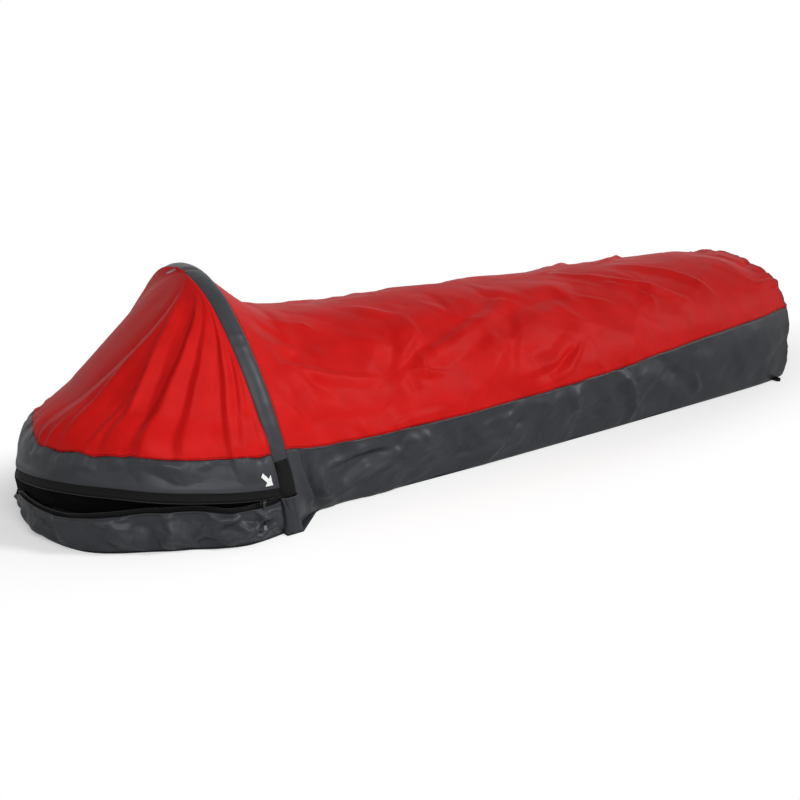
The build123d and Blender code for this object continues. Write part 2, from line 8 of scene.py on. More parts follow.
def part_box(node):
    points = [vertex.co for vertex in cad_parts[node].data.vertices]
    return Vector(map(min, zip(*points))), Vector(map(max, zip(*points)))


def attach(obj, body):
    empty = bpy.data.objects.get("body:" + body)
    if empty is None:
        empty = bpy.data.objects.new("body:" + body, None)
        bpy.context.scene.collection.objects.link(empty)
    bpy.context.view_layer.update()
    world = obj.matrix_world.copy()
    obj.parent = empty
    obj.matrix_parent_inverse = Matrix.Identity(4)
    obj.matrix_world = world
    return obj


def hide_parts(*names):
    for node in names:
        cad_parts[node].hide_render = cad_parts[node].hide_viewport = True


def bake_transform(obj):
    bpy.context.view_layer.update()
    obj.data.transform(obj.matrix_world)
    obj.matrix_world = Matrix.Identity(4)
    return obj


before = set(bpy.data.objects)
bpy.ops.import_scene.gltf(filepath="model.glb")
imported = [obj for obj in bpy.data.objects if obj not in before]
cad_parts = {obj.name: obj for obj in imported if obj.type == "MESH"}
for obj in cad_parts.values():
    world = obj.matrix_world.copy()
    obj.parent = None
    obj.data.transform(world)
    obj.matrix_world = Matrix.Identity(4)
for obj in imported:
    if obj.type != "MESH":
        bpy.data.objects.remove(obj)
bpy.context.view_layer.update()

# ---- Camera ----
# Stands low at the head end's near side, with a short telephoto lens.

back = Vector((-0.54617, -0.77393, 0.32052))
bpy.ops.object.camera_add(
    location=(-1.5729, -2.0377, 0.9350), rotation=back.to_track_quat("Z", "Y").to_euler()
)
camera = bpy.context.object
camera.data.sensor_width = 36
camera.data.lens = 49.3
bpy.context.scene.camera = camera
bpy.context.scene.view_settings.view_transform = "Standard"


# ---- Studio ----
# A pale floor that keeps the bag's shadow, a soft sun from the near side, one large lamp at
# the head end and a white surround. Past the shadow's reach the floor fades into the surround.


def srgb(code):
    """Linear colour of an sRGB hex code."""
    levels = [int(code[i : i + 2], 16) / 255 for i in (1, 3, 5)]
    linear = [c / 12.92 if c <= 0.04045 else ((c + 0.055) / 1.055) ** 2.4 for c in levels]
    return (*linear, 1)


def add(owner, kind, sockets=None, **settings):
    """Adds a shader node; a socket's value may be another node, or one of its outputs."""
    node = owner.node_tree.nodes.new("ShaderNode" + kind)
    for name, value in settings.items():
        setattr(node, name, value)
    for name, value in (sockets or {}).items():
        if isinstance(value, bpy.types.Node):
            value = value.outputs[0]
        if isinstance(value, bpy.types.NodeSocket):
            owner.node_tree.links.new(value, node.inputs[name])
        else:
            node.inputs[name].default_value = value
    return node


def blank(name):
    """A new material with an empty node tree."""
    material = bpy.data.materials.new(name)
    material.use_nodes = True
    material.node_tree.nodes.clear()
    return material


def calc(owner, operation, *values):
    """A Math node on two or three values."""
    return add(owner, "Math", dict(enumerate(values)), operation=operation)


def between(owner, factor, low, high):
    """Spreads a factor of 0 to 1 over another range."""
    return add(owner, "MapRange", {"Value": factor, "To Min": low, "To Max": high})


bpy.ops.object.select_all(action="DESELECT")
bpy.ops.mesh.primitive_plane_add(size=60, location=(0, 0, 0))
floor = bpy.context.object
floor.name = "studio_floor"
paper = blank("Matt white paper")
where = add(paper, "TexCoord").outputs["Object"]
stretch = add(paper, "Mapping", {"Vector": where, "Scale": (0.52, 1.6, 1)})
far_out = add(paper, "VectorMath", {0: stretch}, operation="LENGTH").outputs["Value"]
fade = add(
    paper,
    "MapRange",
    {"Value": far_out, "From Min": 0.55, "From Max": 0.92},
    interpolation_type="SMOOTHSTEP",
)
camera_ray = add(paper, "LightPath").outputs["Is Camera Ray"]
seen = calc(paper, "MULTIPLY", fade, camera_ray)
matt = add(paper, "BsdfDiffuse", {"Color": srgb("#fcfcfc")})
# a little light of its own lifts the open floor to the surround's white
lifting = calc(paper, "MULTIPLY", camera_ray, 0.34)
glow = add(paper, "Emission", {"Color": (1, 1, 1, 1), "Strength": lifting})
lifted = add(paper, "AddShader", {0: matt, 1: glow})
white = add(paper, "Emission", {"Color": (1, 1, 1, 1), "Strength": 1})
mixed = add(paper, "MixShader", {0: seen, 1: lifted, 2: white})
add(paper, "OutputMaterial", {"Surface": mixed})
floor.data.materials.append(paper)

world = bpy.data.worlds.new("Studio")
bpy.context.scene.world = world
world.use_nodes = True
world.node_tree.nodes.clear()
ray = add(world, "LightPath")
seen = ray.outputs["Is Camera Ray"]
for kind in ("Is Glossy Ray", "Is Transmission Ray"):
    seen = calc(world, "MAXIMUM", seen, ray.outputs[kind])
level = between(world, seen, 0.23, 1.0)
sky = add(world, "Background", {"Color": (1, 1, 1, 1), "Strength": level})
add(world, "OutputWorld", {"Surface": sky})

toward = Vector((0.60, -0.60, 0.53))
bpy.ops.object.light_add(type="SUN", rotation=toward.to_track_quat("Z", "Y").to_euler())
key = bpy.context.object
key.data.energy = 1.22
key.data.angle = radians(10)

bpy.ops.object.light_add(type="AREA", location=(-1.25, -2.1, 1.35))
lamp = bpy.context.object
lamp.rotation_euler = (lamp.location - Vector((-0.3, 0, 0.2))).to_track_quat("Z", "Y").to_euler()
lamp.data.size = 1.4
lamp.data.energy = 25


# ---- Body of the bag ----
# A tube of coated nylon on a flat floor: grey side walls to the seam and one red panel over
# the top. It stands up by itself with air and a little stiffness, so it is full of soft
# folds, and it is gathered a little along both side seams.

HOOP_X = -0.6175
HINGE_Z = 0.008
LEAN = radians(6.2)
BODY_LENGTH = 1.640
# the body takes its full section this far behind the hoop
SHOULDER = 0.09
# height of cloth that lies on the ground
GROUND_Z = 0.0012
BODY_PLACES = (0.090, 0.145, 0.260, 0.530, 0.860, 1.220, 1.520, 1.640)
BODY_WIDTHS = (0.262, 0.256, 0.260, 0.264, 0.262, 0.256, 0.248, 0.232)

SIDE_RADIUS, SIDE_CENTRE, SIDE_SWEEP = 0.5940, 0.2740, radians(42)
CROWN_RADIUS, CROWN_CENTRE = 0.2253, 0.2467
SIDE_RUN = SIDE_RADIUS * SIDE_SWEEP
HOOP_RUN = 2 * SIDE_RUN + CROWN_RADIUS * (pi - 2 * SIDE_SWEEP)


def hoop_turn(run):
    """Side, height and angle of the hoop's centre line at a distance round from its near foot."""
    run = np.asarray(run, float)
    near, far = run < SIDE_RUN, run > HOOP_RUN - SIDE_RUN
    angle = np.where(near, run / SIDE_RADIUS, SIDE_SWEEP + (run - SIDE_RUN) / CROWN_RADIUS)
    angle = np.where(far, pi - (HOOP_RUN - run) / SIDE_RADIUS, angle)
    radius = np.where(near | far, SIDE_RADIUS, CROWN_RADIUS)
    centre = SIDE_CENTRE * (1.0 * near - far)
    lift = np.where(near | far, 0, CROWN_CENTRE)
    return centre - radius * np.cos(angle), lift + radius * np.sin(angle), angle


def hoop_half_width(height):
    """Half width of the hoop at a height up its own plane."""
    side, rise, _ = hoop_turn(np.linspace(0, HOOP_RUN / 2, 400))
    return np.interp(height, rise, -side)


def ease_in(x):
    """Soft step from 0 to 1 as x goes from 0 to 1."""
    x = np.clip(x, 0, 1)
    return 3 * x**2 - 2 * x**3


def points(x, y, z):
    """Points from their three coordinates, of any shapes that fit together."""
    return np.stack(np.broadcast_arrays(x, y, z), axis=-1)


def run_along(path):
    """Distance along a path at each of its points."""
    return np.r_[0, np.cumsum(np.linalg.norm(np.diff(path, axis=0), axis=1))]


def unit(vectors):
    """The vectors at length one."""
    return vectors / np.maximum(np.linalg.norm(vectors, axis=-1, keepdims=True), 1e-12)


def smooth(x, xs, ys):
    """Value at x on a smooth curve through the points xs, ys that never overshoots them."""
    xs, ys = np.asarray(xs, float), np.asarray(ys, float)
    before, after = (np.diff(ys) / np.diff(xs))[:-1], (np.diff(ys) / np.diff(xs))[1:]
    rising = before * after > 0
    both = np.where(rising, before + after, 1)
    slopes = np.r_[0, np.where(rising, 2 * before * after / both, 0), 0]
    x = np.clip(x, xs[0], xs[-1])
    i = np.clip(np.searchsorted(xs, x) - 1, 0, len(xs) - 2)
    gap = xs[i + 1] - xs[i]
    t = (x - xs[i]) / gap
    bend = slopes[i] * t * (1 - t) ** 2 - slopes[i + 1] * t**2 * (1 - t)
    return ys[i] + (ys[i + 1] - ys[i]) * ease_in(t) + bend * gap


def half_girth(ground, side, side_height, crest, fullness):
    """Slice across the bag from its ground edge to its crest, at even steps."""
    t = np.linspace(0, 1, 60)[:, None]
    weights = ((1 - t) ** 3, 3 * (1 - t) ** 2 * t, 3 * (1 - t) * t**2, t**3)
    roll = ((ground, 0), (ground + 0.55 * (side - ground), 0), (side, 0.45 * side_height))
    over = (side, side_height + fullness * (crest - side_height)), (fullness * side, crest)
    low = sum(w * np.array(p) for w, p in zip(weights, (*roll, (side, side_height))))
    high = sum(w * np.array(p) for w, p in zip(weights, ((side, side_height), *over, (0, crest))))
    slice_points = np.vstack([low, high[1:]])
    run = run_along(slice_points)
    even = np.linspace(0, run[-1], 240)
    return np.column_stack([np.interp(even, run, slice_points[:, i]) for i in (0, 1)])


def bag_slice(s):
    """Half slice of the bag at a distance behind the hoop: x, y and z, from ground to crest."""
    sides = (0.282, 0.274, 0.273, 0.274, 0.272, 0.267, 0.257, 0.241)
    heights = (0.100, 0.104, 0.105, 0.105, 0.105, 0.104, 0.101, 0.098)
    crests = (0.380, 0.369, 0.358, 0.356, 0.347, 0.337, 0.331, 0.318)
    fullness = (0.5523, 0.5523, 0.56, 0.56, 0.57, 0.59, 0.63, 0.67)
    measures = (BODY_WIDTHS, sides, heights, crests, fullness)
    body = half_girth(*(smooth(s, BODY_PLACES, measure) for measure in measures))
    body = np.column_stack([np.full(len(body), HOOP_X + max(s, SHOULDER)), body])
    if s >= SHOULDER:
        return body
    rim = half_girth(0.308, 0.318, 0.020, 0.481, 0.5523)
    up = rim[:, 1] - HINGE_Z
    rim[:, 0] = np.where(up > 0.012, hoop_half_width(up) + 0.002, rim[:, 0])
    rim_x = HOOP_X + 0.0186 / cos(LEAN) - rim[:, 1] * sin(LEAN)
    rim = np.column_stack([rim_x, rim[:, 0], rim[:, 1] * cos(LEAN)])
    down = 1 - (1 - s / SHOULDER) ** 1.3
    return rim + (body - rim) * (s / SHOULDER, down, down)


def seam_height(s):
    """The side seam dips behind the hoop, runs level, then climbs to the foot end."""
    places = (0, 0.06, 0.14, 0.26, 0.51, 0.90, 1.10, 1.30, 1.50, 1.64)
    heights = (0.166, 0.152, 0.142, 0.137, 0.137, 0.152, 0.166, 0.181, 0.193, 0.200)
    return float(smooth(s, places, heights))


def crease(u, v, route, width, lift):
    """One fold with flat flanks, steep on one side, and fading out at both ends."""
    legs = np.linalg.norm(np.diff(route, axis=0), axis=1)
    starts = np.r_[0, np.cumsum(legs)]
    nearest, share, side = np.full(u.shape, 9.0), np.zeros(u.shape), np.zeros(u.shape)
    for (u0, v0), (u1, v1), leg, start in zip(route, route[1:], legs, starts):
        du, dv = (u1 - u0) / leg, (v1 - v0) / leg
        along = np.clip((u - u0) * du + (v - v0) * dv, 0, leg)
        away = np.hypot(u - u0 - along * du, v - v0 - along * dv)
        closer = away < nearest
        nearest = np.where(closer, away, nearest)
        share = np.where(closer, (start + along) / starts[-1], share)
        side = np.where(closer, np.sign((u - u0) * dv - (v - v0) * du), side)
    reach = np.where(side > 0, 1.7 * width, 0.7 * width)
    fade = np.sin(np.clip(share, 0, 1) * pi * 0.9 + 0.16) ** 0.7
    flank = 1.12 - np.sqrt((nearest / (1.35 * reach)) ** 2 + 0.0144)
    return lift * fade * (np.sqrt(flank**2 + 0.0025) + flank) / 2


def in_metres(folds, cloth_width):
    """Route, width and lift of each fold; a route goes by thousandths of the cloth's width."""
    for *route, width, lift in folds:
        yield np.reshape(route, (-1, 2)) / 1000 * (cloth_width, 1), width / 1000, lift / 1000


def creases(u, v, folds, cloth_width=1):
    """All the folds of a table together; with a width of 1 the routes are in millimetres."""
    return sum(crease(u, v, *fold) for fold in in_metres(folds, cloth_width))


def swell(u, v, size, seed):
    """Slow soft undulation, -1 to 1."""
    values = [noise.noise((a / size, b / size, seed)) for a, b in zip(u.flat, v.flat)]
    return np.reshape(values, u.shape)


def drawn_out(u, v, size, stretch, turn):
    """Places in units of a size, turned by an angle and stretched along it."""
    along = (u * cos(turn) + v * sin(turn)) / (stretch * size)
    return along, (v * cos(turn) - u * sin(turn)) / size


def crumple(u, v, size, turn, seed):
    """Crisp random creases of about this size, drawn out along one direction; 0 to 1."""
    along, across = drawn_out(u, v, size, 2.6, turn)
    sway = swell(0.45 * along, 0.45 * across, 1, seed + 40)
    return 1 - 1.9 * np.abs(swell(along + sway, across + 1.4 * sway, 1, seed))


def facets(u, v, size, turn, seed):
    """Random flat facets of about this size that meet in crisp creases; -0.5 to 0.5."""
    cells = 64
    table = np.random.default_rng(seed).random((cells, cells)) - 0.5
    along, across = drawn_out(u, v, size, 1.7, turn)
    along = along + 0.9 * swell(along, across, 2.1, seed + 0.3)
    across = across + 0.9 * swell(along, across, 1.7, seed + 0.7)
    i, j = np.floor(along).astype(int), np.floor(across).astype(int)
    a, b = along - i, across - j
    corner, right, up, far = (
        table[(i + di) % cells, (j + dj) % cells] for di, dj in ((0, 0), (1, 0), (0, 1), (1, 1))
    )
    low = corner + a * (right - corner) + b * (up - corner)
    high = far + (1 - a) * (up - far) + (1 - b) * (right - far)
    return np.where(a + b < 1, low, high)


def pushed(grid, height):
    """The grid with every point moved along the surface's normal."""
    normal = unit(np.cross(np.gradient(grid, axis=0), np.gradient(grid, axis=1)))
    return grid + normal * height[..., None]


def quads(corners):
    """The faces between a grid of point numbers."""
    around = [corners[:-1, :-1], corners[1:, :-1], corners[1:, 1:], corners[:-1, 1:]]
    return np.stack(around, axis=-1).reshape(-1, 4)


def put(name, data):
    """A new object in the scene with this mesh or curve."""
    piece = bpy.data.objects.new(name, data)
    bpy.context.collection.objects.link(piece)
    return piece


def solid(name, places, faces, flat=False):
    """A new object from its points and faces, shaded smooth unless flat."""
    mesh = bpy.data.meshes.new(name)
    mesh.from_pydata(places.reshape(-1, 3).tolist(), [], faces, shade_flat=flat)
    return put(name, mesh)


def cloth(name, grid, u, v, thick=0.0005, sewn=1.0):
    """A sheet of cloth on a grid of points, its UVs the cloth's own measure in metres.

    sewn is each point's distance from the nearest seam, a metre where there is none.
    """
    rows, columns = grid.shape[:2]
    faces = quads(np.arange(rows * columns).reshape(rows, columns))
    piece = solid(name, grid, faces.tolist())
    measure = np.stack(np.broadcast_arrays(u, v), axis=-1).reshape(-1, 2)[faces.ravel()]
    piece.data.uv_layers.new(name="cloth").data.foreach_set("uv", measure.ravel())
    seam = piece.data.attributes.new("sewn", "FLOAT", "POINT")
    seam.data.foreach_set("value", np.broadcast_to(sewn, (rows, columns)).ravel())
    bpy.context.view_layer.objects.active = piece
    shell = piece.modifiers.new("Cloth thickness", "SOLIDIFY")
    shell.thickness = thick
    shell.offset = -1
    bpy.ops.object.modifier_apply(modifier=shell.name)
    return piece


# each fold is the points along it, behind the hoop and up from the seam, then its width and
# its lift, in millimetres
FOLDS = (
    (672, 260, 400, 165, 288, 108, 20, -10), (640, 215, 420, 135, 300, 70, 30, 8),
    (392, 149, 384, 109, 7, 5), (352, 125, 416, 101, 6, 5), (384, 109, 440, 101, 6, 4),
    (352, 125, 352, 69, 12, -7), (64, 173, 160, 140, 272, 116, 10, 6), (64, 173, 104, 106, 12, 6),
    (90, 150, 150, 100, 16, -5), (72, 228, 120, 201, 7, 4), (152, 281, 176, 258, 6, 3),
    (352, 229, 328, 157, 280, 116, 18, -6), (408, 253, 408, 205, 328, 141, 14, 5),
    (40, 280, 104, 226, 12, -4), (256, 12, 320, 20, 400, 21, 8, 4), (200, 34, 208, 6, 6, 3),
    (16, 106, 72, 36, 10, 4), (680, 196, 584, 109, 536, 46, 30, 8),
    (700, 230, 640, 130, 600, 40, 22, -6), (312, 341, 392, 269, 14, 4), (536, 334, 528, 237, 18, -4),
    (280, -28, 184, -30, 112, -46, 96, -86, 128, -135, 9, 8), (300, -20, 200, -52, 140, -90, 12, -6),
    (264, -34, 288, -48, 256, -66, 160, -105, 9, 7), (392, -99, 336, -121, 200, -138, 9, 6),
    (352, -16, 372, -40, 6, 4), (616, -43, 576, -75, 528, -131, 12, 7), (440, -24, 450, -78, 7, 4),
    (952, 360, 1064, 248, 1160, 191, 1248, 117, 1268, 85, 13, 8),
    (980, 320, 1100, 215, 1200, 130, 14, -6), (1160, 311, 1288, 224, 1336, 170, 1364, 90, 13, 8),
    (1048, 233, 1112, 196, 1144, 153, 1136, 118, 10, 6), (936, 209, 1024, 147, 10, 4),
    (688, 204, 616, 133, 20, -5), (860, 98, 784, 33, 706, 14, 10, 8),
    (846, 110, 752, 62, 640, 50, 13, 8), (820, 80, 740, 40, 10, -6),
    (948, -10, 992, -58, 1016, -130, 12, 7), (824, -4, 792, -31, 808, -78, 10, 5),
    (1048, -104, 1040, -140, 9, 5), (1232, -85, 1256, -136, 9, 5), (1096, -16, 1200, -96, 16, -6),
    (28, -2, 36, -60, 66, -140, 8, 9), (50, -10, 62, -80, 94, -140, 8, -7),
    (78, -20, 92, -90, 126, -140, 10, 6), (1470, 340, 1560, 240, 1600, 120, 22, -5),
    (1560, 90, 1650, 80, 10, 6), (1580, 170, 1650, 180, 12, -7), (1590, 260, 1650, 290, 12, 6),
    (1585, 370, 1650, 380, 12, -6),
)


def fold_height(s, a, seed):
    """How far the folds lift the cloth, a being measured up from the side seam."""
    height = np.where(a < 0, 1.5, 1.2) * creases(s, a, FOLDS)
    height += 0.0060 * swell(s, a, 0.26, seed)
    # the cloth lies tighter towards the foot end and along the crest
    loose = 1 - 0.75 * np.clip((s - 0.95) / 0.35, 0, 1)
    loose *= 1 - 0.6 * np.clip((a - 0.26) / 0.10, 0, 1)
    height += 0.0125 * (0.5 + 0.5 * loose) * facets(s, a, 0.080, 0.6, int(seed) + 1)
    height += 0.0060 * loose * facets(s, a, 0.034, -0.5, int(seed) + 2)
    on_wall = loose * np.clip(-a / 0.03, 0, 1)
    height += 0.0200 * on_wall * facets(s, a, 0.042, 1.0, int(seed) + 5)
    height += 0.0070 * on_wall * facets(s, a, 0.017, 0.7, int(seed) + 6)
    near_seam = np.exp(-np.abs(a) / 0.022)
    height += 0.0016 * near_seam * (crumple(s, 0.3 * a, 0.013, pi / 2, seed + 3) - 0.5)
    near_foot = np.exp(-(BODY_LENGTH - s) / 0.05)
    height += 0.0045 * near_foot * (crumple(0.3 * s, a, 0.030, 0, seed + 4) - 0.5)
    return height


WALL_COLUMNS, TOP_COLUMNS = 30, 150


def bag_grid():
    """The whole tube, near ground edge to far ground edge, with the measure of its cloth."""
    steps = np.r_[np.linspace(0, SHOULDER, 19), np.linspace(SHOULDER, BODY_LENGTH, 260)[1:]]
    grid, seams = [], []
    for s in steps:
        half = bag_slice(s)
        run = run_along(half)
        seam = np.interp(seam_height(s), half[:, 2], run)
        whole = 2 * run[-1]
        stops = np.r_[
            np.linspace(0, seam, WALL_COLUMNS),
            np.linspace(seam, whole - seam, TOP_COLUMNS)[1:-1],
            np.linspace(whole - seam, whole, WALL_COLUMNS),
        ]
        mirrored = np.minimum(stops, whole - stops)
        x, y, z = (np.interp(mirrored, run, half[:, i]) for i in range(3))
        y = np.where(stops <= whole / 2, -y, y)
        grid.append(points(x, y, z))
        seams.append((stops - seam, whole - seam - stops))
    grid, seams = np.array(grid), np.array(seams)
    s = np.repeat(steps[:, None], grid.shape[1], axis=1)
    near, far = seams[:, 0], seams[:, 1]
    lift = fold_height(s, near, 3.0)
    far_lift = fold_height(0.1 + 0.92 * s, far, 17.0)
    lift = lift + (far_lift - lift) * ease_in((near - far) / 0.24 + 0.5)
    ground = np.minimum(grid[..., 2] / 0.045, 1)
    at_hoop = np.minimum(s / 0.05, 1)
    grid = pushed(grid, lift * at_hoop * (0.25 + 0.75 * ground))
    grid[..., 2] = np.maximum(grid[..., 2], GROUND_Z)
    sewn = np.minimum.reduce([np.abs(near), np.abs(far), s, np.abs(BODY_LENGTH - s)])
    return grid, s, near, sewn


bag, bag_u, bag_v, bag_sewn = bag_grid()
seam_far = bag.shape[1] - WALL_COLUMNS


def bag_part(name, columns):
    """One cloth cut from the tube, some of its columns wide."""
    grid, u, v, sewn = (part[:, columns] for part in (bag, bag_u, bag_v, bag_sewn))
    return cloth(name, grid, u, v, sewn=sewn)


near_wall = bag_part("side_wall_cloth_near", slice(0, WALL_COLUMNS))
far_wall = bag_part("side_wall_cloth_far", slice(seam_far, None))
top = bag_part("top_cloth", slice(WALL_COLUMNS - 1, seam_far + 1))


def ramp(owner, factor, *stops):
    """A colour ramp between two stops, each a place and a colour."""
    node = add(owner, "ValToRGB", {"Fac": factor})
    for element, (place, colour) in zip(node.color_ramp.elements, stops):
        element.position, element.color = place, colour
    return node


def threads(owner, uv, spacing, waver, mix):
    """Two sets of threads across each other; a wave of scale 1 repeats every 0.314 m."""
    sets = []
    for way, distortion in zip("XY", waver):
        sockets = {"Vector": uv, "Scale": 0.314 / spacing, "Distortion": distortion}
        sets.append(add(owner, "TexWave", sockets, bands_direction=way).outputs["Fac"])
    return calc(owner, mix, *sets)


def surface(material, colour, roughness, ior=1.53, specular=0.5, **sockets):
    """Ends a material in a Principled shader."""
    sockets |= {"Base Color": colour, "Roughness": roughness, "IOR": ior, "Specular IOR Level": specular}
    add(material, "OutputMaterial", {"Surface": add(material, "BsdfPrincipled", sockets)})
    return material


def coated_nylon(name, lit, shade, seam_tone, roughness, specular):
    """Thin plain-weave nylon with a film on its back: satin, with fine crumples in the film."""
    material = blank(name)
    uv = add(material, "UVMap", uv_map="cloth")
    # faint clouding of the dye, about 60 mm across
    cloud = add(material, "TexNoise", {"Vector": uv, "Scale": 16.0, "Detail": 3.0})
    tone = ramp(material, cloud, (0.35, srgb(shade)), (0.65, srgb(lit)))
    # fine creases left by packing, about 45 mm apart
    packing = {"Vector": uv, "Scale": 22.0, "Detail": 3.0, "Distortion": 0.6}
    creased = add(material, "TexNoise", packing, noise_type="RIDGED_MULTIFRACTAL")
    # real threads are 0.15 mm apart; drawn at 2 mm so that they show at all
    weave = threads(material, uv, 0.002, (0.4, 0.4), "MULTIPLY")
    # the seam is a pressed fold, with a row of stitches 4 mm beside it
    seam = add(material, "Attribute", attribute_name="sewn").outputs["Fac"]
    pressed = add(
        material,
        "MapRange",
        {"Value": seam, "From Max": 0.0022, "To Min": 1.0, "To Max": 0.0},
        interpolation_type="SMOOTHSTEP",
    )
    stitches = calc(material, "COMPARE", seam, 0.0040, 0.0007)
    sunk = calc(material, "MAXIMUM", pressed, stitches)
    # sockets 0, 6 and 7 of a colour mix are its factor and its two colours, output 2 its result
    dyed = add(material, "Mix", {0: sunk, 6: tone, 7: srgb(seam_tone)}, data_type="RGBA").outputs[2]
    film = add(material, "Bump", {"Height": creased, "Strength": 0.22, "Distance": 0.0014})
    woven = add(material, "Bump", {"Height": weave, "Strength": 0.12, "Distance": 0.0002, "Normal": film})
    gloss = between(material, cloud, roughness - 0.05, roughness + 0.06)
    return surface(material, dyed, gloss, 1.53, specular, Normal=woven)


red_nylon = coated_nylon("Coated nylon taffeta, red", "#cd1816", "#c21311", "#8d0b0b", 0.48, 0.07)
grey_nylon = coated_nylon("Coated nylon taffeta, slate", "#34373b", "#2f3135", "#222427", 0.40, 0.21)


def dress(piece, material):
    """Gives a finished piece its material."""
    piece.data.materials.append(material)


for side, wall in (("near", near_wall), ("far", far_wall)):
    dress(wall, grey_nylon)
    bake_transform(wall)
    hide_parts(f"side_wall_{side}", f"gusset_{side}")
dress(top, red_nylon)
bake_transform(top)
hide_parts("top_panel", "shoulder_panel")


# ---- Foot end ----
# One grey panel sewn into the end of the tube. It bellies out a little, and the seam round it
# puckers the cloth.

rim = bag[-1]
sill = np.linspace(rim[-1], rim[0], 60)
rim = np.vstack([rim, sill[1:]])
depth, panel_reach = 0.020, 0.24
middle = np.array([HOOP_X + BODY_LENGTH, 0, 0.150])
share = np.linspace(0, 1, 26)[:, None]
inward = np.where(share < 0.3, 0.72 + 0.28 * np.cos(share / 0.3 * pi / 2), 0.72 * (1 - share) / 0.7)
end_grid = middle + (rim - middle) * inward[..., None]
end_grid[..., 0] += depth * np.sin(np.minimum(share / 0.3, 1) * pi / 2) + 0.004 * share
end_u, end_v = np.broadcast_arrays(run_along(rim), panel_reach * share)
pucker = 0.006 * np.exp(-share / 0.16) * (crumple(end_u, 0.3 * end_v, 0.026, pi / 2, 61) - 0.4)
soft = 0.004 * swell(end_u, end_v, 0.12, 62) + 0.003 * (crumple(end_u, end_v, 0.05, 0.4, 63) - 0.5)
calm = np.minimum(share / 0.06, 1) * np.minimum((1 - share) / 0.3, 1)
end_grid[..., 0] += calm * (pucker + soft)
end_grid[..., 2] = np.maximum(end_grid[..., 2], GROUND_Z)
foot_end = cloth("foot_end_cloth", end_grid, end_grid[..., 1], end_grid[..., 2], sewn=end_v)
dress(foot_end, grey_nylon)
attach(foot_end, "shell")
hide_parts("foot_end_panel")


# ---- Hood ----
# Grey skirt and red panel, cut from the same nylon, sewn together and to the front edge of the
# pole sleeve. The hood is slack between the zip and the hoop, so folds fan out from the
# hoop's foot. It is shaped as it lies with the zip closed, and then tipped open with the hoop.

HEAD_X = -0.7075
MOUTH = radians(6)
CLOSED = LEAN + MOUTH
CROWN_RISE = 0.472 * cos(CLOSED)
SKIRT_BOTTOM, HOOD_SEAM = 0.109, 0.163
HOOD_RADIUS, HOOD_CLOTH, HOOP_GAP = 0.310, 1.03, 0.018


def opened(grid):
    """Tipped open about the line through the hoop's feet."""
    x, z = grid[..., 0] - HOOP_X, grid[..., 2] - HINGE_Z
    turned_x = HOOP_X + x * cos(MOUTH) + z * sin(MOUTH)
    return points(turned_x, grid[..., 1], HINGE_Z - x * sin(MOUTH) + z * cos(MOUTH))


def raised(plan, z):
    """Points of a plan at the heights z."""
    return np.concatenate([plan, z[..., None]], axis=-1)


def round_head(f, z, radius, gap=HOOP_GAP, lean=CLOSED):
    """Plan of a ring round the head end, f going from 0 at its near edge to 1 at its far one."""
    edge = HOOP_X - gap / cos(lean) - (z - HINGE_Z) * tan(lean)
    past = np.arcsin((edge - HEAD_X) / radius)
    angle = f * (pi + 2 * past) - past
    return np.stack([HEAD_X - radius * np.sin(angle), -radius * np.cos(angle)], axis=-1)


def ring(f, z, radius, gap=HOOP_GAP, lean=CLOSED):
    """Upright ring round the head end."""
    return raised(round_head(f, z, radius, gap, lean), z)


def shifted(grid, outward, up):
    """The grid moved outward from the middle of the head end, and up."""
    plan = grid[..., :2]
    return raised(plan + unit(plan - (HEAD_X, 0)) * outward[..., None], grid[..., 2] + up)


def hood_plan(f, z):
    """Plan of the hood above its seam: the seam's circle, turning into an oval under the hoop."""
    rise = z - HINGE_Z
    ahead = HOOP_GAP / cos(CLOSED) + rise * tan(CLOSED)
    tip = HOOP_X - HEAD_X + HOOD_RADIUS
    crown_tip = HOOP_GAP / cos(CLOSED) + CROWN_RISE * tan(CLOSED)
    share = (z - HOOD_SEAM) / (CROWN_RISE + HINGE_Z - HOOD_SEAM)
    front = tip + (crown_tip - tip) * share - 0.040 * share * (1 - share)
    width = hoop_half_width(rise / cos(CLOSED)) + 0.003
    oval = [HOOP_X - ahead - (front - ahead) * np.sin(pi * f), -width * np.cos(pi * f)]
    ease = ease_in((z - HOOD_SEAM) / 0.07)[..., None]
    return round_head(f, z, HOOD_RADIUS) * (1 - ease) + np.stack(oval, axis=-1) * ease


def slack(grid, f):
    """The hood's lower edge hangs slack, most at the far side of the head, and bellies out there."""
    z = grid[..., 2]
    seam_places = (0, 0.25, 0.35, 0.40, 0.46, 0.52, 0.60, 1)
    seam_drop = smooth(f, seam_places, (0, 0, 0.009, 0.016, 0.017, 0.008, 0, 0))
    edge_places = (0, 0.04, 0.09, 0.15, 0.25, 0.35, 0.42, 0.50, 0.57, 0.64, 0.72, 0.85, 1)
    edge_drops = (0.008, 0.007, 0.005, 0.003, 0.003, 0.009, 0.017, 0.031, 0.044, 0.046, 0.034)
    edge_drop = smooth(f, edge_places, (*edge_drops, 0.012, 0))
    belly_places = (0, 0.28, 0.36, 0.43, 0.50, 0.58, 0.70, 1)
    belly = smooth(f, belly_places, (0, 0, 0.006, 0.011, 0.009, 0.003, 0, 0))
    below = ease_in((HOOD_SEAM - z) / (HOOD_SEAM - SKIRT_BOTTOM))
    above = ease_in((z - HOOD_SEAM) / 0.08)
    drop = np.where(z < HOOD_SEAM, seam_drop + (edge_drop - seam_drop) * below, seam_drop * (1 - above))
    return shifted(grid, belly * (1 - above), -drop)


def hung(grid, f):
    """The grid hung slack on the hood and tipped open with it."""
    return opened(slack(grid, f))


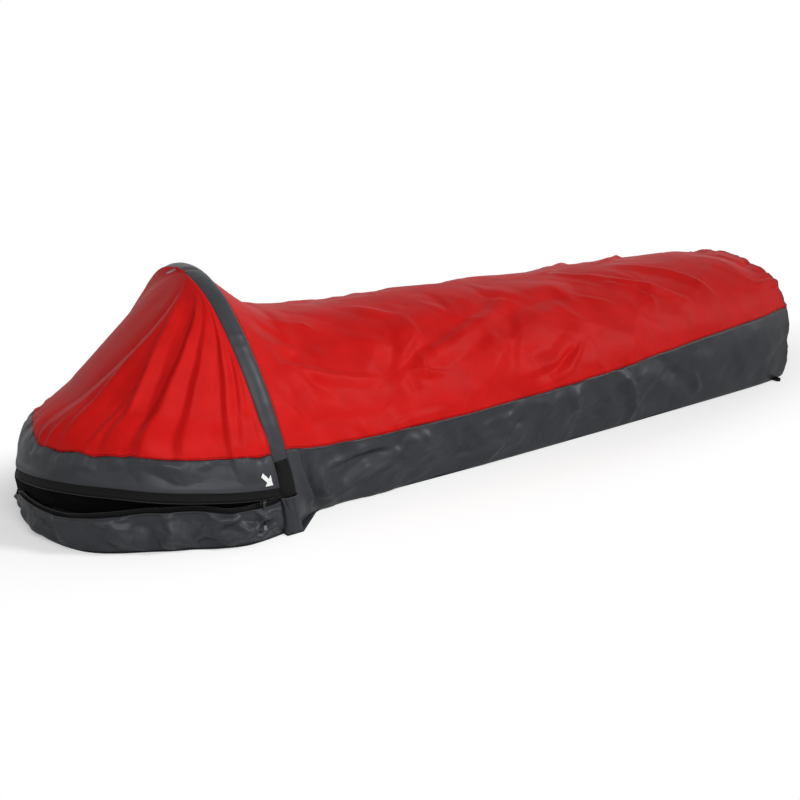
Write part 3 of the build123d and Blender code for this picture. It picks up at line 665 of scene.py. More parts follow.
# the points go by thousandths of the way round the head and by height
HOOD_FOLDS = (
    (283, 448, 310, 387, 362, 316, 398, 258, 445, 195, 40, 14),
    (150, 420, 195, 356, 219, 288, 228, 220, 238, 140, 21, 14),
    (280, 400, 299, 340, 296, 275, 289, 220, 305, 160, 14, 9),
    (365, 313, 380, 247, 385, 208, 390, 165, 12, 4), (302, 271, 310, 230, 322, 193, 348, 160, 10, 5),
    (100, 400, 138, 343, 156, 285, 160, 220, 165, 143, 20, 10),
    (45, 395, 66, 334, 75, 258, 75, 171, 62, 115, 12, 10),
    (12, 360, 30, 290, 44, 225, 54, 167, 48, 120, 11, 7), (6, 290, 9, 233, 13, 167, 20, 125, 9, 5),
    (415, 200, 428, 160, 9, 4), (458, 190, 470, 160, 9, 3), (360, 137, 336, 145, 314, 140, 10, 7),
    (295, 148, 263, 153, 9, 5), (214, 147, 186, 153, 158, 143, 10, 7), (140, 155, 116, 155, 8, 5),
    (480, 140, 440, 148, 410, 142, 10, 5), (600, 170, 610, 120, 16, 4), (690, 165, 680, 120, 14, -4),
)

skirt_rows, panel_rows, hood_columns = 20, 140, 300
first = asin((HOOD_SEAM - HINGE_Z) / (CROWN_RISE + 0.004))
climb = np.linspace(first, radians(89), panel_rows)
hood_z = np.r_[
    np.linspace(SKIRT_BOTTOM, HOOD_SEAM, skirt_rows)[:-1],
    HINGE_Z + (CROWN_RISE + 0.004) * np.sin(climb) * 0.9999,
]
f, z = np.meshgrid(np.linspace(0, 1, hood_columns), hood_z)
down = np.clip((HOOD_SEAM - z) / (HOOD_SEAM - SKIRT_BOTTOM), 0, 1)
skirt_radius = HOOD_RADIUS + 0.022 * down + 0.004 * np.sin(pi * down)
plan = np.where((z < HOOD_SEAM)[..., None], round_head(f, z, skirt_radius), hood_plan(f, z))
hood = raised(plan, z)
row_gaps = np.linalg.norm(np.diff(hood, axis=0), axis=2).mean(axis=1)
hood_u, hood_v = np.broadcast_arrays(HOOD_CLOTH * f, np.r_[0, np.cumsum(row_gaps)][:, None])
lift = creases(hood_u, z, HOOD_FOLDS, HOOD_CLOTH)
# the folds by the near foot are repeated, weaker, by the far one
for route, width, high in in_metres(HOOD_FOLDS[5:9], HOOD_CLOTH):
    lift += crease(hood_u, z, route * (-0.8, 1) + (HOOD_CLOTH, 0), width, 0.6 * high)
lift += 0.004 * swell(hood_u, hood_v, 0.22, 71)
low_down = 0.25 + 0.75 * ease_in((0.26 - z) / 0.12)
lift += 0.0035 * low_down * facets(hood_u, hood_v, 0.055, 1.3, 72)
lift += 0.0140 * ease_in((HOOD_SEAM - z) / 0.012) * facets(hood_u, z, 0.036, 0.9, 73)
gather = np.exp(-np.abs(z - HOOD_SEAM) / 0.012)
lift += 0.0020 * gather * (crumple(hood_u, 0.25 * hood_v, 0.014, pi / 2, 74) - 0.5)
lift = np.where(z < HOOD_SEAM, np.maximum(lift, -0.0006 - 0.30 * np.maximum(z - 0.1175, 0)), lift)
held = ease_in(np.minimum(hood_u, HOOD_CLOTH - hood_u) / 0.030)
held *= np.clip((z - SKIRT_BOTTOM + 0.004) / 0.02, 0, 1)
held *= 1 - ease_in((z - 0.40) / 0.06)
hood = hung(pushed(hood, lift * held), f)
# the far shoulder of the hood falls in, and the seam wanders a little
far = ease_in((hood[..., 1] + 0.10) / 0.15) * ease_in((hood[..., 2] - 0.10) / 0.12)
far *= ease_in(np.sin(pi * f) / 0.6)
hood[..., 1] -= far * (0.030 + 0.018 * ease_in((hood[..., 2] - 0.25) / 0.20))
hood[..., 2] -= 0.005 * far * ease_in((hood[..., 2] - 0.15) / 0.15)
tucked = ease_in((z - HOOD_SEAM) / 0.022) * (1 - ease_in((z - 0.195) / 0.045))
hood[..., 1] -= 0.026 * tucked * ease_in((hood[..., 1] + 0.05) / 0.15) * ease_in(np.sin(pi * f) / 0.6)
wander = 0.0055 * swell(hood_u, np.full_like(f, 0.4), 0.045, 75)
wander += 0.0090 * ease_in((f - 0.22) / 0.08) * facets(hood_u, np.full_like(f, 0.4), 0.016, 0, 76)
hood[..., 2] += wander * np.exp(-(((z - HOOD_SEAM) / 0.022) ** 2)) * held

hood_edge = np.minimum(hood_u, HOOD_CLOTH - hood_u)
seam_row = skirt_rows - 1
hood_sewn = np.minimum(np.abs(hood_v - hood_v[seam_row]), hood_edge)
for name, rows, material, slot, node, flat in (
    ("hood_cloth", slice(seam_row, None), red_nylon, "red_cloth", "hood_panel", (1.03, 0.44)),
    ("skirt_cloth", slice(0, seam_row + 1), grey_nylon, "grey_cloth", "hood_skirt", (1.10, 0.08)),
):
    piece = cloth(name, hood[rows], hood_u[rows], hood_v[rows], sewn=hood_sewn[rows])
    dress(piece, material)
    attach(piece, "hood")
    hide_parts(node)


# ---- Zip tapes ----
# Black woven tape on both sides of the zip: the upper one is sewn under the edge of the skirt
# and tips with the hood, the lower one is sewn inside the top edge of the lip.


def woven_tape(name, colour, ribs=0.0016):
    """Woven tape or webbing: matt, with fine ribs along it."""
    material = blank(name)
    uv = add(material, "UVMap", uv_map="cloth")
    # real ribs are 0.4 mm apart; drawn at 1.6 mm or more so that they show
    both = threads(material, uv, ribs, (0.8, 0.5), "MULTIPLY")
    dark = [0.6 * c for c in srgb(colour)[:3]]
    tone = ramp(material, both, (0, (*dark, 1)), (1, srgb(colour)))
    ribbed = add(material, "Bump", {"Height": both, "Strength": 0.35, "Distance": 0.0003})
    return surface(material, tone, 0.80, 1.57, 0.15, Normal=ribbed)


black_tape = woven_tape("Woven polyester tape, black", "#101011")
ZIP_RADIUS, ZIP_RUN = 0.3305, 1.17
LIP_TOP, LIP_GAP, LIP_IN = 0.0765, 0.020, 0.003


def lip_inward(f):
    """How far the lip stands in from its circle at the near side."""
    return smooth(f, (0, 0.060, 0.115, 0.17, 0.22, 0.36, 1), (0, 0, 0.013, 0.027, 0.027, 0, 0))


def slumped(grid, f):
    """The lip's top edge stands a little inward at the near side and slumps at the far side."""
    places = (0, 0.085, 0.14, 0.22, 0.28, 0.325, 0.375, 0.425, 0.475, 0.51, 0.55, 0.60, 0.65)
    places += (0.72, 0.82, 0.92, 1)
    rises = (0, 0, 0.008, 0.008, 0.004, 0, -0.007, -0.009, -0.009, -0.010, -0.026, -0.042, -0.046)
    rises += (-0.036, -0.014, 0, 0)
    rise = smooth(f, places, rises) * grid[..., 2] / LIP_TOP
    return shifted(grid, -lip_inward(f), rise)


def band(low, high, rows=6, columns=240):
    """Grid round the head end between two heights: share of the way round, and height."""
    return np.meshgrid(np.linspace(0, 1, columns), np.linspace(low, high, rows))


TAPE_FOOT, TAPE_WIDTH, TAPE_THICK = 0.0906, 0.0244, 0.0009
LIP_TAPE_FOOT, LIP_TAPE_TOP = 0.0640, 0.0822

f, z = band(TAPE_FOOT, TAPE_FOOT + TAPE_WIDTH)
bow = 0.0012 * (swell(ZIP_RUN * f, z, 0.05, 81) - 1) * np.sin(pi * (z - TAPE_FOOT) / TAPE_WIDTH)
upper = hung(pushed(ring(f, z, ZIP_RADIUS), bow), f)
upper_tape = cloth("upper_tape", upper, ZIP_RUN * f, z, TAPE_THICK)
f, z = band(LIP_TAPE_FOOT, LIP_TAPE_TOP)
lower = slumped(ring(f, z, ZIP_RADIUS - LIP_IN, LIP_GAP, LEAN), f)
lower_tape = cloth("lower_tape", lower, ZIP_RUN * f, z, TAPE_THICK)
for tape, body, node, width in (
    (upper_tape, "hood", "upper_zip_tape", 0.0244),
    (lower_tape, "shell", "lower_zip_tape", 0.018),
):
    dress(tape, black_tape)
    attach(tape, body)
    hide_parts(node)


# ---- Zip coils ----
# Two rows of nylon coil, each one long helix of monofilament sewn to the edge of its tape.

COIL_PITCH, COIL_HALF_HEIGHT, COIL_HALF_DEPTH = 0.0022, 0.00105, 0.00085
WIRE_RADIUS, WIRE_SIDES, STEPS_A_TURN = 0.00042, 5, 6


def grain(owner, scale):
    """Fine noise fixed to the object."""
    where = add(owner, "TexCoord").outputs["Object"]
    return add(owner, "TexNoise", {"Vector": where, "Scale": scale})


coil_nylon = blank("Nylon monofilament coil, black")
# draw marks along the monofilament, drawn 2 mm long
rough = between(coil_nylon, grain(coil_nylon, 500.0), 0.30, 0.48)
surface(coil_nylon, srgb("#18181a"), rough)


def coil(name, middle, radius, gap, lean, settle):
    """Helix of wire round the head end at a height."""
    steps = STEPS_A_TURN * int(ZIP_RUN / COIL_PITCH)
    f, turn = np.linspace(0, 1, steps), np.arange(steps) * 2 * pi / STEPS_A_TURN
    z = middle + COIL_HALF_HEIGHT * np.sin(turn)
    path = settle(ring(f, z, radius + COIL_HALF_DEPTH * np.cos(turn), gap, lean), f)
    ahead = unit(np.gradient(path, axis=0))
    one = unit(np.cross(ahead, (path - (HEAD_X, 0, 0)) * (1, 1, 0)))
    two = np.cross(ahead, one)
    around = (np.arange(WIRE_SIDES) * 2 * pi / WIRE_SIDES)[:, None]
    out = np.cos(around) * one[:, None] + np.sin(around) * two[:, None]
    wire = path[:, None] + WIRE_RADIUS * out
    corner = np.arange(steps * WIRE_SIDES).reshape(steps, WIRE_SIDES)
    ends = [corner[0, ::-1].tolist(), corner[-1].tolist()]
    piece = solid(name, wire, quads(np.c_[corner, corner[:, 0]].T).tolist() + ends)
    dress(piece, coil_nylon)
    return piece


upper_coil = coil("upper_coil", 0.0891, ZIP_RADIUS, HOOP_GAP, CLOSED, hung)
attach(upper_coil, "hood")
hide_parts("upper_zip_chain")
lower_coil = coil("lower_coil", 0.0837, ZIP_RADIUS - LIP_IN, LIP_GAP, LEAN, slumped)
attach(lower_coil, "shell")
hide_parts("lower_zip_chain")


# ---- Lip ----
# The low wall in front of the hoop, of grey nylon. Its top edge is sewn to the lower zip tape,
# which gathers it, and it stands in soft facets.

# the points go by thousandths of the way round the head and by height
LIP_FOLDS = (
    (30, 70, 75, 34, 120, 10, 7, 5), (18, 60, 50, 30, 70, 4, 6, -6), (12, 40, 45, 20, 80, 18, 5, 4),
    (60, 72, 110, 40, 6, -4), (6, 68, 30, 52, 48, 66, 5, 5), (40, 62, 62, 20, 5, 5),
    (100, 68, 135, 48, 160, 20, 7, 5), (130, 70, 150, 62, 5, -4), (205, 68, 190, 40, 215, 14, 8, 5),
    (290, 62, 310, 36, 8, -4), (150, 70, 170, 20, 12, 4), (235, 72, 260, 40, 262, 10, 10, -4),
    (330, 70, 345, 15, 14, 4), (420, 60, 440, 10, 16, -4), (510, 72, 520, 20, 12, 4),
    (620, 70, 600, 10, 14, -4), (760, 70, 740, 10, 14, 4), (900, 70, 880, 10, 12, -4),
)

LIP_FOOT = 0.0020

f, z = band(LIP_FOOT, LIP_TOP, 36, 320)
belly = 0.3200 + 0.0150 * np.sin(pi / 2 * np.minimum(z / 0.034, 1)) ** 0.8
lip_radius = belly - 0.0019 * ease_in((z - 0.034) / 0.042)
lip = slumped(ring(f, z, lip_radius, LIP_GAP, LEAN), f)
u, v = ZIP_RUN * f, z
lift = 1.5 * creases(u, v, LIP_FOLDS, ZIP_RUN)
lift += 0.0030 * swell(u, v, 0.085, 91) + 0.0200 * facets(u, v, 0.038, 1.1, 92)
lift += 0.0090 * facets(u, v, 0.018, 0.7, 94)
lift += 0.0036 * np.exp(-(LIP_TOP - z) / 0.014) * (crumple(u, 0.3 * v, 0.010, pi / 2, 93) - 0.5)
lift = np.maximum(lift, -0.0010 - 0.25 * np.maximum(0.062 - z, 0))
lift *= np.clip((LIP_TOP - z) / 0.008, 0, 1) * np.clip((z - LIP_FOOT) / 0.012, 0, 1)
lift *= ease_in(np.minimum(f, 1 - f) / 0.012)
lip = pushed(lip, lift)
lip_edge = np.minimum(LIP_TOP - z, ZIP_RUN * np.minimum(f, 1 - f))
lip_cloth = cloth("lip_cloth", lip, u, v, sewn=lip_edge)
dress(lip_cloth, grey_nylon)
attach(lip_cloth, "shell")
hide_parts("head_wall")


# ---- Corners ----
# A small piece of the grey nylon on each side closes the corner between the lip and the body,
# inside the pole pocket. It is sewn to both.

SIDES = (("near", 1), ("far", -1))
CORNER_Y, CORNER_HALF, CORNER_IN = 0.2985, 0.024, 0.0012

corner_z = lip[:, 0, 2]
across = np.linspace(0, 1, 24)
for side, mirror_y in SIDES:
    # from the lip's fourth column to the wall's fifth row, a little in from their edges
    lip_column = 3 if mirror_y > 0 else -4
    wall = bag[4, :WALL_COLUMNS] if mirror_y > 0 else bag[4, : seam_far - 1 : -1]
    heights = np.maximum.accumulate(wall[:, 2])
    rows = []
    for (lip_x, lip_y, _), height in zip(lip[:, lip_column], corner_z):
        wall_x, wall_y = (np.interp(height, heights, wall[:, i]) for i in (0, 1))
        back = (height - HINGE_Z) * tan(LEAN)
        stops = (0, 0.28, 0.72, 1)
        plan_x = (lip_x, HOOP_X - CORNER_HALF - back, HOOP_X + CORNER_HALF - back, wall_x)
        plan_y = (abs(lip_y) - CORNER_IN, CORNER_Y, CORNER_Y, abs(wall_y) - CORNER_IN)
        x, y = smooth(across, stops, plan_x), -mirror_y * smooth(across, stops, plan_y)
        rows.append(points(x, y, height))
    corner = np.array(rows)
    corner = corner if mirror_y > 0 else corner[:, ::-1]
    corner_cloth = cloth(f"corner_cloth_{side}", corner, 0.075 * across, corner_z[:, None])
    dress(corner_cloth, grey_nylon)
    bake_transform(corner_cloth)


# ---- Floor ----
# A flat sheet of the grey nylon with a heavier coating. It is round at the head, widest at the
# hoop's feet and narrow from there on, and everything else is sewn to its edge.

FEET_Y, FLOOR_MARGIN = 0.331, 0.0020

sill = lip[0]
tip = sill[:, 0].argmin()
floor_x = np.r_[
    HEAD_X - (HEAD_X - sill[tip, 0] + FLOOR_MARGIN) * np.cos(np.linspace(0, 1.27, 60)),
    np.linspace(HEAD_X - 0.085, HOOP_X - 0.0195, 40),
    np.linspace(HOOP_X - 0.018, HOOP_X + 0.018, 6),
    np.linspace(HOOP_X + 0.03, HOOP_X + BODY_LENGTH + 0.015, 120),
]
body_edge = smooth(floor_x - HOOP_X, (*BODY_PLACES, 1.656), (*BODY_WIDTHS, 0.205))
neck = np.clip((floor_x - HOOP_X - 0.018) / 0.072, 0, 1)
behind_edge = FEET_Y + (body_edge - FEET_Y) * neck
near_sill = np.interp(floor_x, sill[tip::-1, 0], sill[tip::-1, 1]) - FLOOR_MARGIN
far_sill = np.interp(floor_x, sill[tip:, 0], sill[tip:, 1]) + FLOOR_MARGIN
in_front = floor_x < HOOP_X - 0.019
near_edge = np.where(in_front, near_sill, -behind_edge)[:, None]
far_edge = np.where(in_front, far_sill, behind_edge)[:, None]
floor_y = near_edge + (far_edge - near_edge) * np.linspace(0, 1, 60)
floor_grid = points(floor_x[:, None], floor_y, GROUND_Z)
floor_cloth = cloth("floor_sheet", floor_grid, floor_grid[..., 0], floor_grid[..., 1], 0.0006)
dress(floor_cloth, grey_nylon)
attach(floor_cloth, "shell")
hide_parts("floor_panel")


# ---- Insect mesh ----
# A strip of fine black net hung inside the mouth from the skirt's lower edge, bound along its
# own lower edge with tape.

net = blank("Knitted nylon net, black")
uv = add(net, "UVMap", uv_map="cloth")
# real holes are 0.6 mm across; drawn at 2 mm so that they show
thread = threads(net, uv, 0.002, (0, 0), "MAXIMUM")
cover = add(net, "MapRange", {"Value": thread, "From Min": 0.15, "From Max": 0.45, "To Min": 0.92})
surface(net, srgb("#050506"), 0.9, 1.53, 0.05, Alpha=cover)

MESH_RUN, MESH_GAP, MESH_FOOT, MESH_HEIGHT, MESH_RADIUS = 1.14, 0.024, 0.046, 0.075, 0.313


def far_bulge(f):
    """How far the mesh bellies out at the far side of the head."""
    return 0.016 * np.exp(-(((f - 0.60) / 0.07) ** 2))


f, z = band(MESH_FOOT, MESH_FOOT + MESH_HEIGHT, 20, 200)
up = (z - MESH_FOOT) / MESH_HEIGHT
below = MESH_FOOT + MESH_HEIGHT - z
radius = MESH_RADIUS + 0.0110 * up - lip_inward(f) * ease_in(below / 0.04)
bulge = far_bulge(f) * ease_in(below / 0.05) + 0.0035 * swell(MESH_RUN * f, z, 0.06, 95) * np.sin(pi * up)
screen = hung(pushed(ring(f, z, radius, MESH_GAP), bulge), f)
mesh_cloth = cloth("mesh_cloth", screen, MESH_RUN * f, z, 0.0004)
dress(mesh_cloth, net)
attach(mesh_cloth, "hood")
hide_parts("mesh_screen")

f, z = band(0.0375, 0.0475, 5, 200)
radius = MESH_RADIUS - 0.1 * (MESH_FOOT - z) - lip_inward(f)
binding = hung(pushed(ring(f, z, radius, MESH_GAP), far_bulge(f)), f)
mesh_binding = cloth("mesh_binding", binding, MESH_RUN * f, z, 0.0016)
dress(mesh_binding, black_tape)
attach(mesh_binding, "hood")
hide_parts("mesh_hem")


# ---- Pole sleeve ----
# A flat tube of grey nylon sewn between hood and body, with the pole inside it. It stops short
# of the ground at both ends.


def on_hoop(run, behind, outward):
    """Point at a distance round the hoop, behind its plane and out from its centre line."""
    side, rise, angle = hoop_turn(run)
    side, rise = side - outward * np.cos(angle), rise + outward * np.sin(angle)
    x = HOOP_X + behind * cos(LEAN) - rise * sin(LEAN)
    return points(x, side, HINGE_Z + behind * sin(LEAN) + rise * cos(LEAN))


def sleeve_ring(turn):
    """Section of the sleeve: behind and outward at an angle round it."""
    outward = np.sign(np.sin(turn)) * (0.0010 + 0.0054 * np.abs(np.sin(turn)) ** 1.4)
    return 0.0180 * np.cos(turn), outward


SLEEVE_END = 0.076
# cloth round the sleeve for each radian of its section
CLOTH_PER_TURN = 0.0127

run, turn = np.meshgrid(np.linspace(SLEEVE_END, HOOP_RUN - SLEEVE_END, 360), np.linspace(0, 2 * pi, 49))
behind, outward = sleeve_ring(turn)
ruck = 0.0012 * (crumple(run, 0.02 * turn, 0.030, 1.1, 101) - 0.5)
ruck += 0.0010 * swell(run, 0.02 * np.cos(turn), 0.05, 102)
ruck *= ease_in((np.minimum(run, HOOP_RUN - run) - 0.150) / 0.03)
outward = outward + ruck * np.sin(turn)
behind = behind + 0.0012 * swell(run, np.full_like(run, 0.3), 0.06, 103) * np.sign(behind)
sleeve = on_hoop(run, behind, outward)
edge = np.minimum(np.abs(turn - pi), np.minimum(turn, 2 * pi - turn)) * CLOTH_PER_TURN
sleeve_cloth = cloth("sleeve_cloth", sleeve, run, 0.0400 * turn / pi, 0.0004, sewn=edge)
dress(sleeve_cloth, grey_nylon)
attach(sleeve_cloth, "hood")
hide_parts("pole_sleeve")


# ---- Sleeve patches ----
# A black patch hugs each end of the sleeve where the pole goes in, with its top edge drawn
# into a small knot of gathered cloth.

PATCH_FOOT, PATCH_TOP, PATCH_TUCK = 0.069, 0.144, 0.12

for side, mirror_y in SIDES:
    run, turn = np.meshgrid(
        np.linspace(PATCH_FOOT, PATCH_TOP, 44), np.linspace(-PATCH_TUCK, pi + PATCH_TUCK, 40)
    )
    behind, outward = sleeve_ring(np.clip(turn, 0.0001, pi - 0.0001))
    tight = ease_in((run - 0.116) / 0.028)
    fold = crumple(0.016 * turn, 0.12 * run, 0.0035, pi / 2, 111)
    outward = outward + 0.0008 + 0.0004 * fold + tight * (0.0022 * fold + 0.0012)
    outward += 0.0008 * (crumple(run, 0.02 * turn, 0.016, 0.8, 112) - 0.5)
    behind = behind * (1.04 - 0.22 * tight)
    patch = on_hoop(run, behind, np.where(np.sin(turn) < 0, 0.0006, outward))
    patch[..., 1] *= mirror_y
    patch = patch if mirror_y > 0 else patch[::-1]
    patch_cloth = cloth(f"patch_cloth_{side}", patch[:, ::-1], run, CLOTH_PER_TURN * turn, 0.0006)
    dress(patch_cloth, black_tape)
    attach(patch_cloth, "hood")
    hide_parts(f"sleeve_patch_{side}")


# ---- Pole pockets ----
# An open-topped pocket of grey nylon on each side holds the pole's ball tip. It is sewn to the
# floor's edge and is pleated round its top.

POCKET_TOP, POCKET_MIDDLE_Y, POCKET_HALF_X, POCKET_HALF_Y = 0.081, 0.318, 0.0185, 0.0128

for side, mirror_y in SIDES:
    turn, z = np.meshgrid(np.linspace(0, 2 * pi, 121), np.linspace(0.0015, POCKET_TOP, 30))
    slim = 1 - 0.10 * np.sin(pi * z / POCKET_TOP)
    pleat = np.abs(np.sin(4.5 * turn + 0.6 * np.sin(60 * z))) ** 0.7 - 0.5
    pleat = 0.0022 * pleat * (0.35 + 0.65 * z / POCKET_TOP)
    pleat += 0.0016 * (crumple(0.018 * turn, z, 0.012, 0.9, 121) - 0.5)
    squared = (np.abs(np.cos(turn)) ** 3 + np.abs(np.sin(turn)) ** 3) ** (-1 / 3)
    behind = (POCKET_HALF_X * slim + pleat) * squared * np.cos(turn)
    outward = (POCKET_HALF_Y * slim + pleat) * squared * np.sin(turn)
    x, y = HOOP_X + behind - (z - HINGE_Z) * tan(LEAN), mirror_y * (-POCKET_MIDDLE_Y - outward)
    pocket = points(x, y, z)
    pocket = pocket[::-1] if mirror_y > 0 else pocket
    pocket_cloth = cloth(f"pocket_cloth_{side}", pocket, 0.018 * turn, z, 0.0008, sewn=POCKET_TOP - z)
    dress(pocket_cloth, grey_nylon)
    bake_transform(pocket_cloth)
    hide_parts(f"pole_pocket_{side}")


# ---- Hoop pole ----
# Three anodised aluminium tubes on one elastic cord, pushed together over short ferrules, with
# a moulded ball at each end.

anodised = blank("Anodised aluminium tube, grey")
# drawing lines in the tube, about 1 mm apart
rough = between(anodised, grain(anodised, 900.0), 0.24, 0.38)
surface(anodised, srgb("#a9adb3"), rough, 1.50, Metallic=1.0)


def moulded(name, colour, roughness, ior, scale=1400.0):
    """A plain moulded surface with a fine grain."""
    material = blank(name)
    speck = grain(material, scale)
    rough = between(material, speck, roughness - 0.07, roughness + 0.07)
    grained = add(material, "Bump", {"Height": speck, "Strength": 0.2, "Distance": 0.0001})
    return surface(material, srgb(colour), rough, ior, Normal=grained)


acetal = moulded("Acetal, moulded, black", "#1c1c1e", 0.42, 1.48)
thermoplastic_rubber = moulded("Thermoplastic rubber, moulded, grey", "#6f7275", 0.62, 1.50)
black_enamel = moulded("Enamelled zinc casting, black", "#1b1b1d", 0.30, 1.50)
braided_cover = moulded("Braided polyester cover, off-white", "#cfccc4", 0.80, 1.57, 700.0)


def finish(node, material):
    """Puts a material on a carried-over solid."""
    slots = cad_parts[node].data.materials
    slots.clear()
    slots.append(material)


for section in ("near", "crown", "far"):
    finish(f"pole_section_{section}", anodised)
finish("pole_ferrules", anodised)
finish("pole_tips", acetal)
finish("pole_shock_cord", braided_cover)


# ---- Zip sliders and pulls ----
# A black enamelled slider on each side of the mouth. Its flat pull carries a folded tape with
# a grey rubber grip moulded on.

SLIDER_ANGLE = radians(3.5)
STRIP_HALF, STRIP_HALF_RUN = 0.0014, 0.036

for side, mirror_y in SIDES:
    finish(f"zip_slider_{side}", black_enamel)
    finish(f"zip_pull_{side}", black_enamel)
    finish(f"pull_grip_{side}", thermoplastic_rubber)
    low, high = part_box(f"pull_tape_{side}")
    # folded strip: up the back, over the pull's slot and down the front, lying together below
    t = np.linspace(-1, 1, 61)
    drop = high.z - 0.0003 - (high.z - low.z) * np.abs(t) ** 1.15
    apart = 0.00095 * np.tanh(t / 0.06) * (0.55 + 0.45 * np.exp(-((t / 0.3) ** 2)))
    along, centre = np.linspace(-STRIP_HALF, STRIP_HALF, 5)[:, None], (low + high) / 2
    x = centre.x + along * cos(SLIDER_ANGLE) + apart * sin(SLIDER_ANGLE)
    y = centre.y + mirror_y * (along * sin(SLIDER_ANGLE) - apart * cos(SLIDER_ANGLE))
    strip = points(x, y, drop)
    strip = strip[::-1] if mirror_y > 0 else strip
    tape = cloth(f"pull_strip_{side}", strip, along, STRIP_HALF_RUN * t)
    dress(tape, black_tape)
    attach(tape, f"pull_{side}")
    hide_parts(f"pull_tape_{side}")


# ---- Guy loop ----
# A small loop of grey cord sewn into the front edge of the sleeve at the crown.

low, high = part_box("guy_loop")
reach, half_width = high.x - low.x, (high.y - low.y) / 2
t = np.linspace(0, 1, 25)
bow = np.sin(pi * t) ** 0.45
loop_x = high.x - 0.002 - (reach - 0.003) * bow
loop_y = -(half_width - 0.0012) * np.cos(pi * t) * (0.55 + 0.45 * np.sin(pi * t) ** 0.5)
slope = (high.z - low.z - 0.002) / reach
loop_z = high.z - 0.001 - slope * (high.x - loop_x)
curve = bpy.data.curves.new("guy_cord", "CURVE")
curve.dimensions = "3D"
spline = curve.splines.new("NURBS")
spline.points.add(len(t) - 1)
for point, place in zip(spline.points, points(loop_x, loop_y, loop_z)):
    point.co = (*place, 1)
spline.order_u = 3
spline.use_endpoint_u = True
curve.bevel_depth = 0.0009
curve.bevel_resolution = 3
curve.use_fill_caps = True
drawn_cord = put("guy_cord_line", curve)
bpy.context.view_layer.update()
solid_cord = bpy.data.meshes.new_from_object(drawn_cord)
bpy.data.objects.remove(drawn_cord)
guy_cord = put("guy_cord", solid_cord)

braid = blank("Braided polyester cord, grey")
where = add(braid, "TexCoord").outputs["Object"]
# the braid's strands cross every 0.9 mm
strands = add(braid, "TexVoronoi", {"Vector": where, "Scale": 1100.0})
plait = add(braid, "Bump", {"Height": strands, "Strength": 0.6, "Distance": 0.0003})
surface(braid, srgb("#7d8083"), 0.75, 1.57, Normal=plait)
dress(guy_cord, braid)
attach(guy_cord, "hood")
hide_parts("guy_loop")


# ---- Zip arrow ----
# A small plain arrow printed in white on the skirt's lower corner, pointing down to the zip.

tail_end, point_end = np.array((0.0300, 0.1350)), np.array((0.0125, 0.1165))
shaft = (point_end - tail_end) * (ZIP_RUN, 1)
sideways = np.array((-shaft[1], shaft[0]))
arrow_rows, arrow_columns = 9, 5
arrow_points, arrow_faces = [], []
for start, end, start_half, end_half in ((0, 0.55, 0.14, 0.14), (0.55, 1, 0.44, 0.006)):
    first = len(arrow_points)
    for share in np.linspace(0, 1, arrow_rows):
        centre = tail_end * (ZIP_RUN, 1) + shaft * (start + (end - start) * share)
        half = start_half + (end_half - start_half) * share
        arrow_points += [*(centre + sideways * half * np.linspace(-1, 1, arrow_columns)[:, None])]
    corner = first + np.arange(arrow_rows * arrow_columns).reshape(arrow_rows, arrow_columns)
    arrow_faces += quads(corner).tolist()
arrow_u, arrow_z = np.array(arrow_points).T
row = np.interp(arrow_z, hood_z, np.arange(len(hood_z)))
column = arrow_u / ZIP_RUN * (hood_columns - 1)
i, j = row.astype(int), column.astype(int)
a, b = (row - i)[:, None], (column - j)[:, None]
near_row = hood[i, j] * (1 - b) + hood[i, j + 1] * b
next_row = hood[i + 1, j] * (1 - b) + hood[i + 1, j + 1] * b
on_skirt = near_row * (1 - a) + next_row * a
ink_gap = np.full(len(on_skirt), 0.0006)
zip_arrow = solid("zip_arrow", shifted(on_skirt, ink_gap, 0), arrow_faces, flat=True)

ink = blank("Screen-printing ink, white")
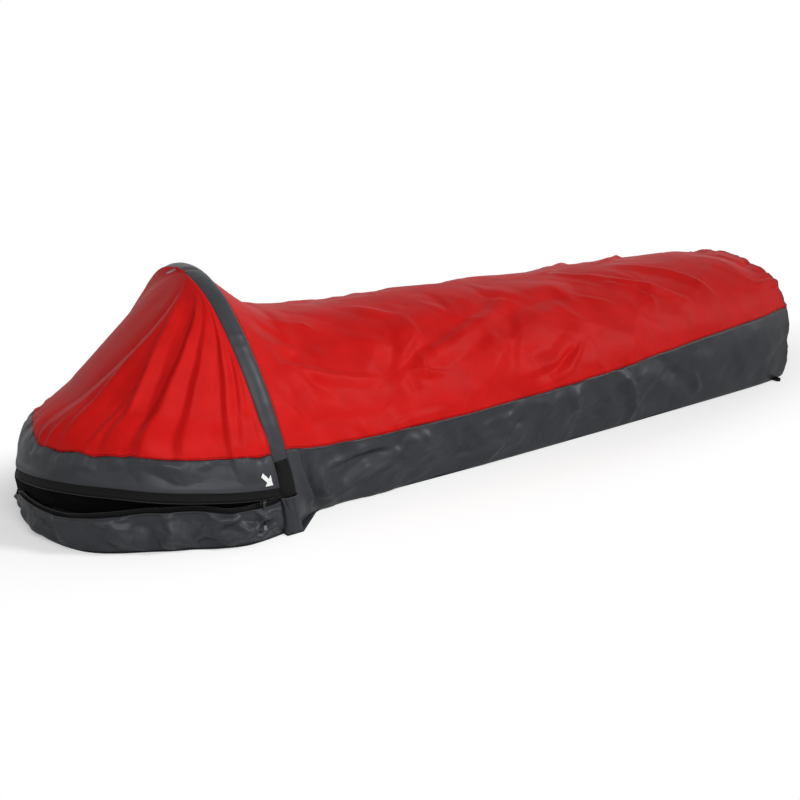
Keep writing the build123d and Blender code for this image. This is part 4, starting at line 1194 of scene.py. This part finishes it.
# the ink lies thinner in patches about 2 mm across
tone = ramp(ink, grain(ink, 450.0), (0.30, srgb("#b9bbbd")), (0.50, srgb("#ececec")))
surface(ink, tone, 0.55, 1.5)
dress(zip_arrow, ink)
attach(zip_arrow, "hood")


# ---- Stake loops ----
# A loop of narrow tape at each foot corner, sewn into the seam with the floor.

STAKE_TAPE = 0.0012

for side, mirror_y in SIDES:
    low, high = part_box(f"stake_loop_{side}")
    middle_x = (low.x + high.x) / 2
    half_gap = (high.x - low.x) / 2 - 0.0010
    inner, outer = sorted((abs(low.y), abs(high.y)))
    outer -= 0.0010
    turn = np.linspace(-pi / 2, pi / 2, 15)
    round_end = outer - half_gap
    leg = np.array([(-half_gap, inner - 0.002), (-half_gap, (inner + round_end) / 2)])
    arc = np.column_stack([half_gap * np.sin(turn), round_end + half_gap * np.cos(turn)])
    path = np.vstack([leg, arc, leg[::-1] * (-1, 1)])
    heights = np.linspace(low.z + 0.0002, high.z - 0.0002, 4)
    loop = points(middle_x + path[:, :1], -mirror_y * path[:, 1:], heights)
    loop = loop[:, ::-1] if mirror_y > 0 else loop
    stake_tape = cloth(f"stake_tape_{side}", loop, run_along(path)[:, None], heights, STAKE_TAPE)
    dress(stake_tape, black_tape)
    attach(stake_tape, "shell")
    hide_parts(f"stake_loop_{side}")


# ---- Pad straps ----
# Two straps of webbing inside the bag, sewn to the floor at both ends and arched over the
# sleeping pad, each with a moulded slide buckle.

webbing = woven_tape("Woven nylon webbing, black", "#1d1d1f", 0.0024)

STRAP_END, STRAP_HALF, STRAP_LOW, STRAP_ARCH = 0.226, 0.0098, 0.0036, 0.0318

for end, behind in (("head", 0.260), ("foot", 0.900)):
    x = HOOP_X + behind + np.linspace(-STRAP_HALF, STRAP_HALF, 6)[:, None]
    y = np.linspace(-STRAP_END, STRAP_END, 120)
    strap = points(x, y, STRAP_LOW + STRAP_ARCH * ease_in((0.214 - np.abs(y)) / 0.052))
    strap_webbing = cloth(f"strap_webbing_{end}", strap, y, x, 0.0014)
    dress(strap_webbing, webbing)
    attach(strap_webbing, "shell")
    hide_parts(f"pad_strap_{end}")
    finish(f"strap_buckle_{end}", acetal)
